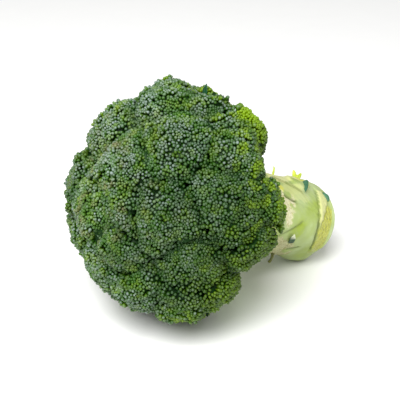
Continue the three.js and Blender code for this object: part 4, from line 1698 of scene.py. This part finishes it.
def dark_scrap():
    """The scrap that stands on the stalk's upper side, halfway along it."""
    outline = (
        (-0.16, 2.2, 3.6), (-0.06, 0.3, 3.8), (0.05, -0.6, 3.7), (0.2, -0.6, 3.5),
        (0.4, -0.5, 3.0), (0.6, -0.4, 2.4), (0.8, -0.3, 1.4), (1.0, -0.2, 0.3))
    shape = laid_blade((83.3, -13), (78.3, -34), (1.5, 1.9), outline, 0.4 * MM, lean=32)
    shape.values["vein"] *= 0.5
    return shape


def end_scrap():
    """The scrap by the cut end."""
    outline = (
        (-0.05, -0.3, 0.7), (0.15, -0.5, 1.6), (0.35, -0.5, 2.3), (0.55, -0.5, 2.5),
        (0.75, -0.4, 2.2), (0.9, -0.3, 1.4), (1.0, -0.2, 0.3))
    return laid_blade((99.0, -28), (100.5, -43), (0.2, 0.4), outline, 0.4 * MM, lean=38)


def curled_scrap():
    """The scrap low on the near side, which curls up and is pale on one side."""
    outline = (
        (-0.05, -1.4, 1.8), (0.15, -1.9, 2.4), (0.35, -2.0, 2.3), (0.55, -1.9, 1.7),
        (0.75, -1.6, 0.8), (0.9, -1.2, 0.1), (1.0, -0.7, -0.3))
    shape = laid_blade((72.3, -115), (68.8, -97), (0.2, 2.0), outline, 0.9 * MM, lean=12)
    shape.values["vein"] = curled_face(shape, -108)
    return shape


def side_shoot():
    """The stub of a side shoot that hangs where the crown meets the stalk."""
    radii = np.array([1.6, 1.3, 1.1, 1.0, 0.95, 0.95, 1.0, 1.1, 0.9]) * MM
    places = skin_points((73, -152, -1), (74.5, -157, 2.2), (75.5, -161, 4.4), (75.5, -164, 6.0))
    return round_tube(curve_through(places, len(radii)), radii, 9)


# The blades of the young scrap: millimetres towards the crown, height and width.
YOUNG_BLADES = ((-1.2, 4.6, 1.7), (1.7, 5.6, 1.8), (0.3, 3.2, 2.6))
YOUNG_OUTLINE = ((-0.1, 0.7), (0.2, 0.85), (0.45, 1.0), (0.7, 0.9), (0.88, 0.6), (1, 0.15))


def young_scraps():
    """The forked young scrap on the stalk's upper side, and the prong beside the crown."""
    foot, out, _ = skin_frame(88, 9)
    shapes = []
    for sideways, height, width in YOUNG_BLADES:
        outline = [
            (share * height * MM, -half * width * MM, half * width * MM)
            for share, half in YOUNG_OUTLINE]
        rise = unit(out + 0.12 * sideways * CROWN_AXIS)
        across = CROWN_AXIS - (CROWN_AXIS @ rise) * rise
        shapes.append(blade(
            foot + sideways * MM * CROWN_AXIS, rise, across, outline, 0.8 * sideways * MM,
            1.0 * MM, vein=0.5))
    foot, out, _ = skin_frame(66, 11)
    path = curve_through([
        foot - 1 * MM * out, foot + 4 * MM * out,
        foot + 5.2 * MM * out + 1.0 * MM * CROWN_AXIS], 7)
    shapes.append(round_tube(path, np.linspace(0.9, 0.25, 7) * MM, 7))
    return joined(in_grid(shapes, 0, 0, 1, 1))


# The leaf tip's outline: millimetres up from its foot, and half its width there.
LEAF_TIP_OUTLINE = (
    (-1, 1.3), (1, 2.0), (2.6, 2.3), (4.2, 2.0), (5.6, 1.3), (6.8, 0.6), (7.6, 0.12))
LEAF_TIP_FOOT = 6.1 * MM    # below the middle of its CAD node


def crown_leaf_tip():
    """The tip of a leaf that stands between two florets at the top of the crown."""
    low, high = (np.array(corner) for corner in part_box("leaf_tip_crown"))
    out = unit((low + high) / 2 - CENTRE)
    across = unit(np.cross(CROWN_AXIS, out))
    foot = (low + high) / 2 - LEAF_TIP_FOOT * out
    outline = [(height * MM, -half * MM, half * MM) for height, half in LEAF_TIP_OUTLINE]
    return blade(foot, out, across, outline, 0.9 * MM, 0.7 * MM)


class BROCCOLI_OT_leaf_scraps(bpy.types.Operator):
    """Makes the scraps of leaf on the stalk and the leaf tip at the top of the crown"""

    bl_idname = "broccoli.leaf_scraps"
    bl_label = "Leaf scraps"

    def execute(self, context):
        settings = context.scene.broccoli_leaves
        bloom = settings.leaf_bloom_colour
        dark = leaf_material("dark_blade", settings.leaf_colour, bloom, 0.4)
        young = leaf_material(
            "young_blade", settings.young_leaf_colour, settings.young_bloom_colour, 0.4)
        curled = leaf_material(
            "curled_blade", settings.shaded_colour, settings.pale_side_colour, 0.04)
        shoot = leaf_material("side_shoot", settings.shoot_colour, bloom, 0.2)
        tip = leaf_material("tip_blade", settings.shaded_colour, bloom, 0.05)
        piece_from(dark_scrap(), "leaf_scrap_dark_blade", [dark], "leaf", "leaf_scrap_dark")
        piece_from(end_scrap(), "leaf_scrap_end_blade", [dark], "leaf", "leaf_scrap_end")
        piece_from(curled_scrap(), "leaf_scrap_front_blade", [curled], "leaf", "leaf_scrap_front")
        piece_from(side_shoot(), "side_shoot_stem", [shoot], "stem")
        piece_from(
            young_scraps(), "leaf_scrap_young_curl", [young], "young_leaf", "leaf_scrap_young")
        piece_from(crown_leaf_tip(), "leaf_tip_crown_blade", [tip], "leaf", "leaf_tip_crown")
        return {"FINISHED"}


# ---- Stage --------------------------------------------------------------------------------

VIEW_AZIMUTH = math.radians(38.5)    # the camera looks this far to the right of +Y
VIEW_ELEVATION = math.radians(26)
VIEW_DISTANCE = 0.6667
PICTURE_SIZE = 400                   # pixels each way
CENTRE_PIXEL = (191, 201)            # where the crown's centre shows
LAMP_PLACE = (-0.74, -0.5, 1.15)
FLOOR_COLOURS = ((0.90, 0.90, 0.89, 1), (0.92, 0.92, 0.91, 1))


class StageSettings(bpy.types.PropertyGroup):
    lens: FloatProperty(
        name="Lens", description="Focal length for a 36 mm sensor", default=100, min=20,
        max=300, subtype="DISTANCE_CAMERA", unit="CAMERA")
    floor_size: length_setting("Floor size", "Width of the pale floor", 6, 1, 20)
    room_light: FloatProperty(
        name="Room light", description="Strength of the even white light", default=0.51,
        min=0, max=5)
    key_light: FloatProperty(
        name="Key light", description="Power of the large soft lamp", default=34, min=0,
        max=500, subtype="POWER", unit="POWER")
    lamp_size: length_setting("Lamp size", "Width of the large soft lamp", 0.9, 0.05, 4)


def add_camera(scene, lens):
    """The camera, placed so that the crown's centre shows at its pixel."""
    forward = np.array([
        math.sin(VIEW_AZIMUTH) * math.cos(VIEW_ELEVATION),
        math.cos(VIEW_AZIMUTH) * math.cos(VIEW_ELEVATION), -math.sin(VIEW_ELEVATION)])
    right = np.array([math.cos(VIEW_AZIMUTH), -math.sin(VIEW_AZIMUTH), 0])
    up = np.cross(right, forward)
    data = bpy.data.cameras.new("camera")
    data.lens = lens
    focal = PICTURE_SIZE * lens / data.sensor_width
    u = (CENTRE_PIXEL[0] - PICTURE_SIZE / 2) / focal
    v = (PICTURE_SIZE / 2 - CENTRE_PIXEL[1]) / focal
    camera = bpy.data.objects.new("camera", data)
    camera.location = CENTRE - VIEW_DISTANCE * (forward + u * right + v * up)
    camera.rotation_euler = Matrix(np.stack([right, up, -forward], 1)).to_euler()
    data.clip_start, data.clip_end = 0.01, 50
    scene.collection.objects.link(camera)
    scene.camera = camera


def add_lamp(scene, power, size):
    """One large soft lamp, aimed at the crown's centre."""
    data = bpy.data.lights.new("key_lamp", "AREA")
    data.energy, data.size = power, size
    lamp = bpy.data.objects.new("key_lamp", data)
    lamp.location = LAMP_PLACE
    aim = Vector(tuple(CENTRE)) - Vector(LAMP_PLACE)
    lamp.rotation_euler = aim.to_track_quat("-Z", "Y").to_euler()
    scene.collection.objects.link(lamp)


def floor_material():
    """Matt white, with a very faint cloudiness."""
    material, nodes, shader = new_material("white_floor")
    place = nodes.add("ShaderNodeTexCoord").outputs["Object"]
    noise = nodes.add("ShaderNodeTexNoise", {"Vector": place, "Scale": 40.0})
    colour = nodes.mix(noise.outputs["Fac"], *FLOOR_COLOURS)
    surface(nodes, shader, colour, 0.9, 0.1)
    return material


class BROCCOLI_OT_stage(bpy.types.Operator):
    """Sets out the pale floor, the soft light and the camera"""

    bl_idname = "broccoli.stage"
    bl_label = "Stage"

    def execute(self, context):
        scene, settings = context.scene, context.scene.broccoli_stage
        half = settings.floor_size / 2
        corners = [(-half, -half, 0), (half, -half, 0), (half, half, 0), (-half, half, 0)]
        mesh = bpy.data.meshes.new("floor")
        mesh.from_pydata(corners, [], [(0, 1, 2, 3)])
        mesh.materials.append(floor_material())
        floor = bpy.data.objects.new("floor", mesh)
        scene.collection.objects.link(floor)

        world = bpy.data.worlds.new("white_room")
        world.use_nodes = True
        background = world.node_tree.nodes["Background"]
        background.inputs["Color"].default_value = (1, 1, 1, 1)
        background.inputs["Strength"].default_value = settings.room_light
        scene.world = world
        scene.view_settings.view_transform = "Standard"

        add_lamp(scene, settings.key_light, settings.lamp_size)
        add_camera(scene, settings.lens)
        return {"FINISHED"}


# ---- Add-on -------------------------------------------------------------------------------

OPERATORS = (
    BROCCOLI_OT_stage, BROCCOLI_OT_florets, BROCCOLI_OT_branches, BROCCOLI_OT_stalk,
    BROCCOLI_OT_leaf_scraps)
SETTINGS = {
    "broccoli_crown": CrownSettings,
    "broccoli_stems": StemSettings,
    "broccoli_stalk": StalkSettings,
    "broccoli_leaves": LeafSettings,
    "broccoli_stage": StageSettings,
}


class BROCCOLI_PT_head(bpy.types.Panel):
    """Lists the pieces of the head"""

    bl_idname = "BROCCOLI_PT_head"
    bl_label = "Broccoli head"
    bl_space_type = "VIEW_3D"
    bl_region_type = "UI"
    bl_category = "Broccoli"

    def draw(self, context):
        column = self.layout.column()
        for operator in OPERATORS:
            column.operator(operator.bl_idname)
        for name, group in SETTINGS.items():
            column.separator()
            settings = getattr(context.scene, name)
            for key in group.__annotations__:
                column.prop(settings, key)


def register():
    for group in SETTINGS.values():
        bpy.utils.register_class(group)
    for operator in OPERATORS:
        bpy.utils.register_class(operator)
    bpy.utils.register_class(BROCCOLI_PT_head)
    for name, group in SETTINGS.items():
        setattr(bpy.types.Scene, name, PointerProperty(type=group))


def unregister():
    for name in SETTINGS:
        delattr(bpy.types.Scene, name)
    bpy.utils.unregister_class(BROCCOLI_PT_head)
    for operator in reversed(OPERATORS):
        bpy.utils.unregister_class(operator)
    for group in SETTINGS.values():
        bpy.utils.unregister_class(group)


def main():
    register()
    bpy.ops.broccoli.stage()
    bpy.ops.broccoli.florets()
    bpy.ops.broccoli.branches()
    bpy.ops.broccoli.stalk()
    bpy.ops.broccoli.leaf_scraps()


if __name__ == "__main__":
    main()
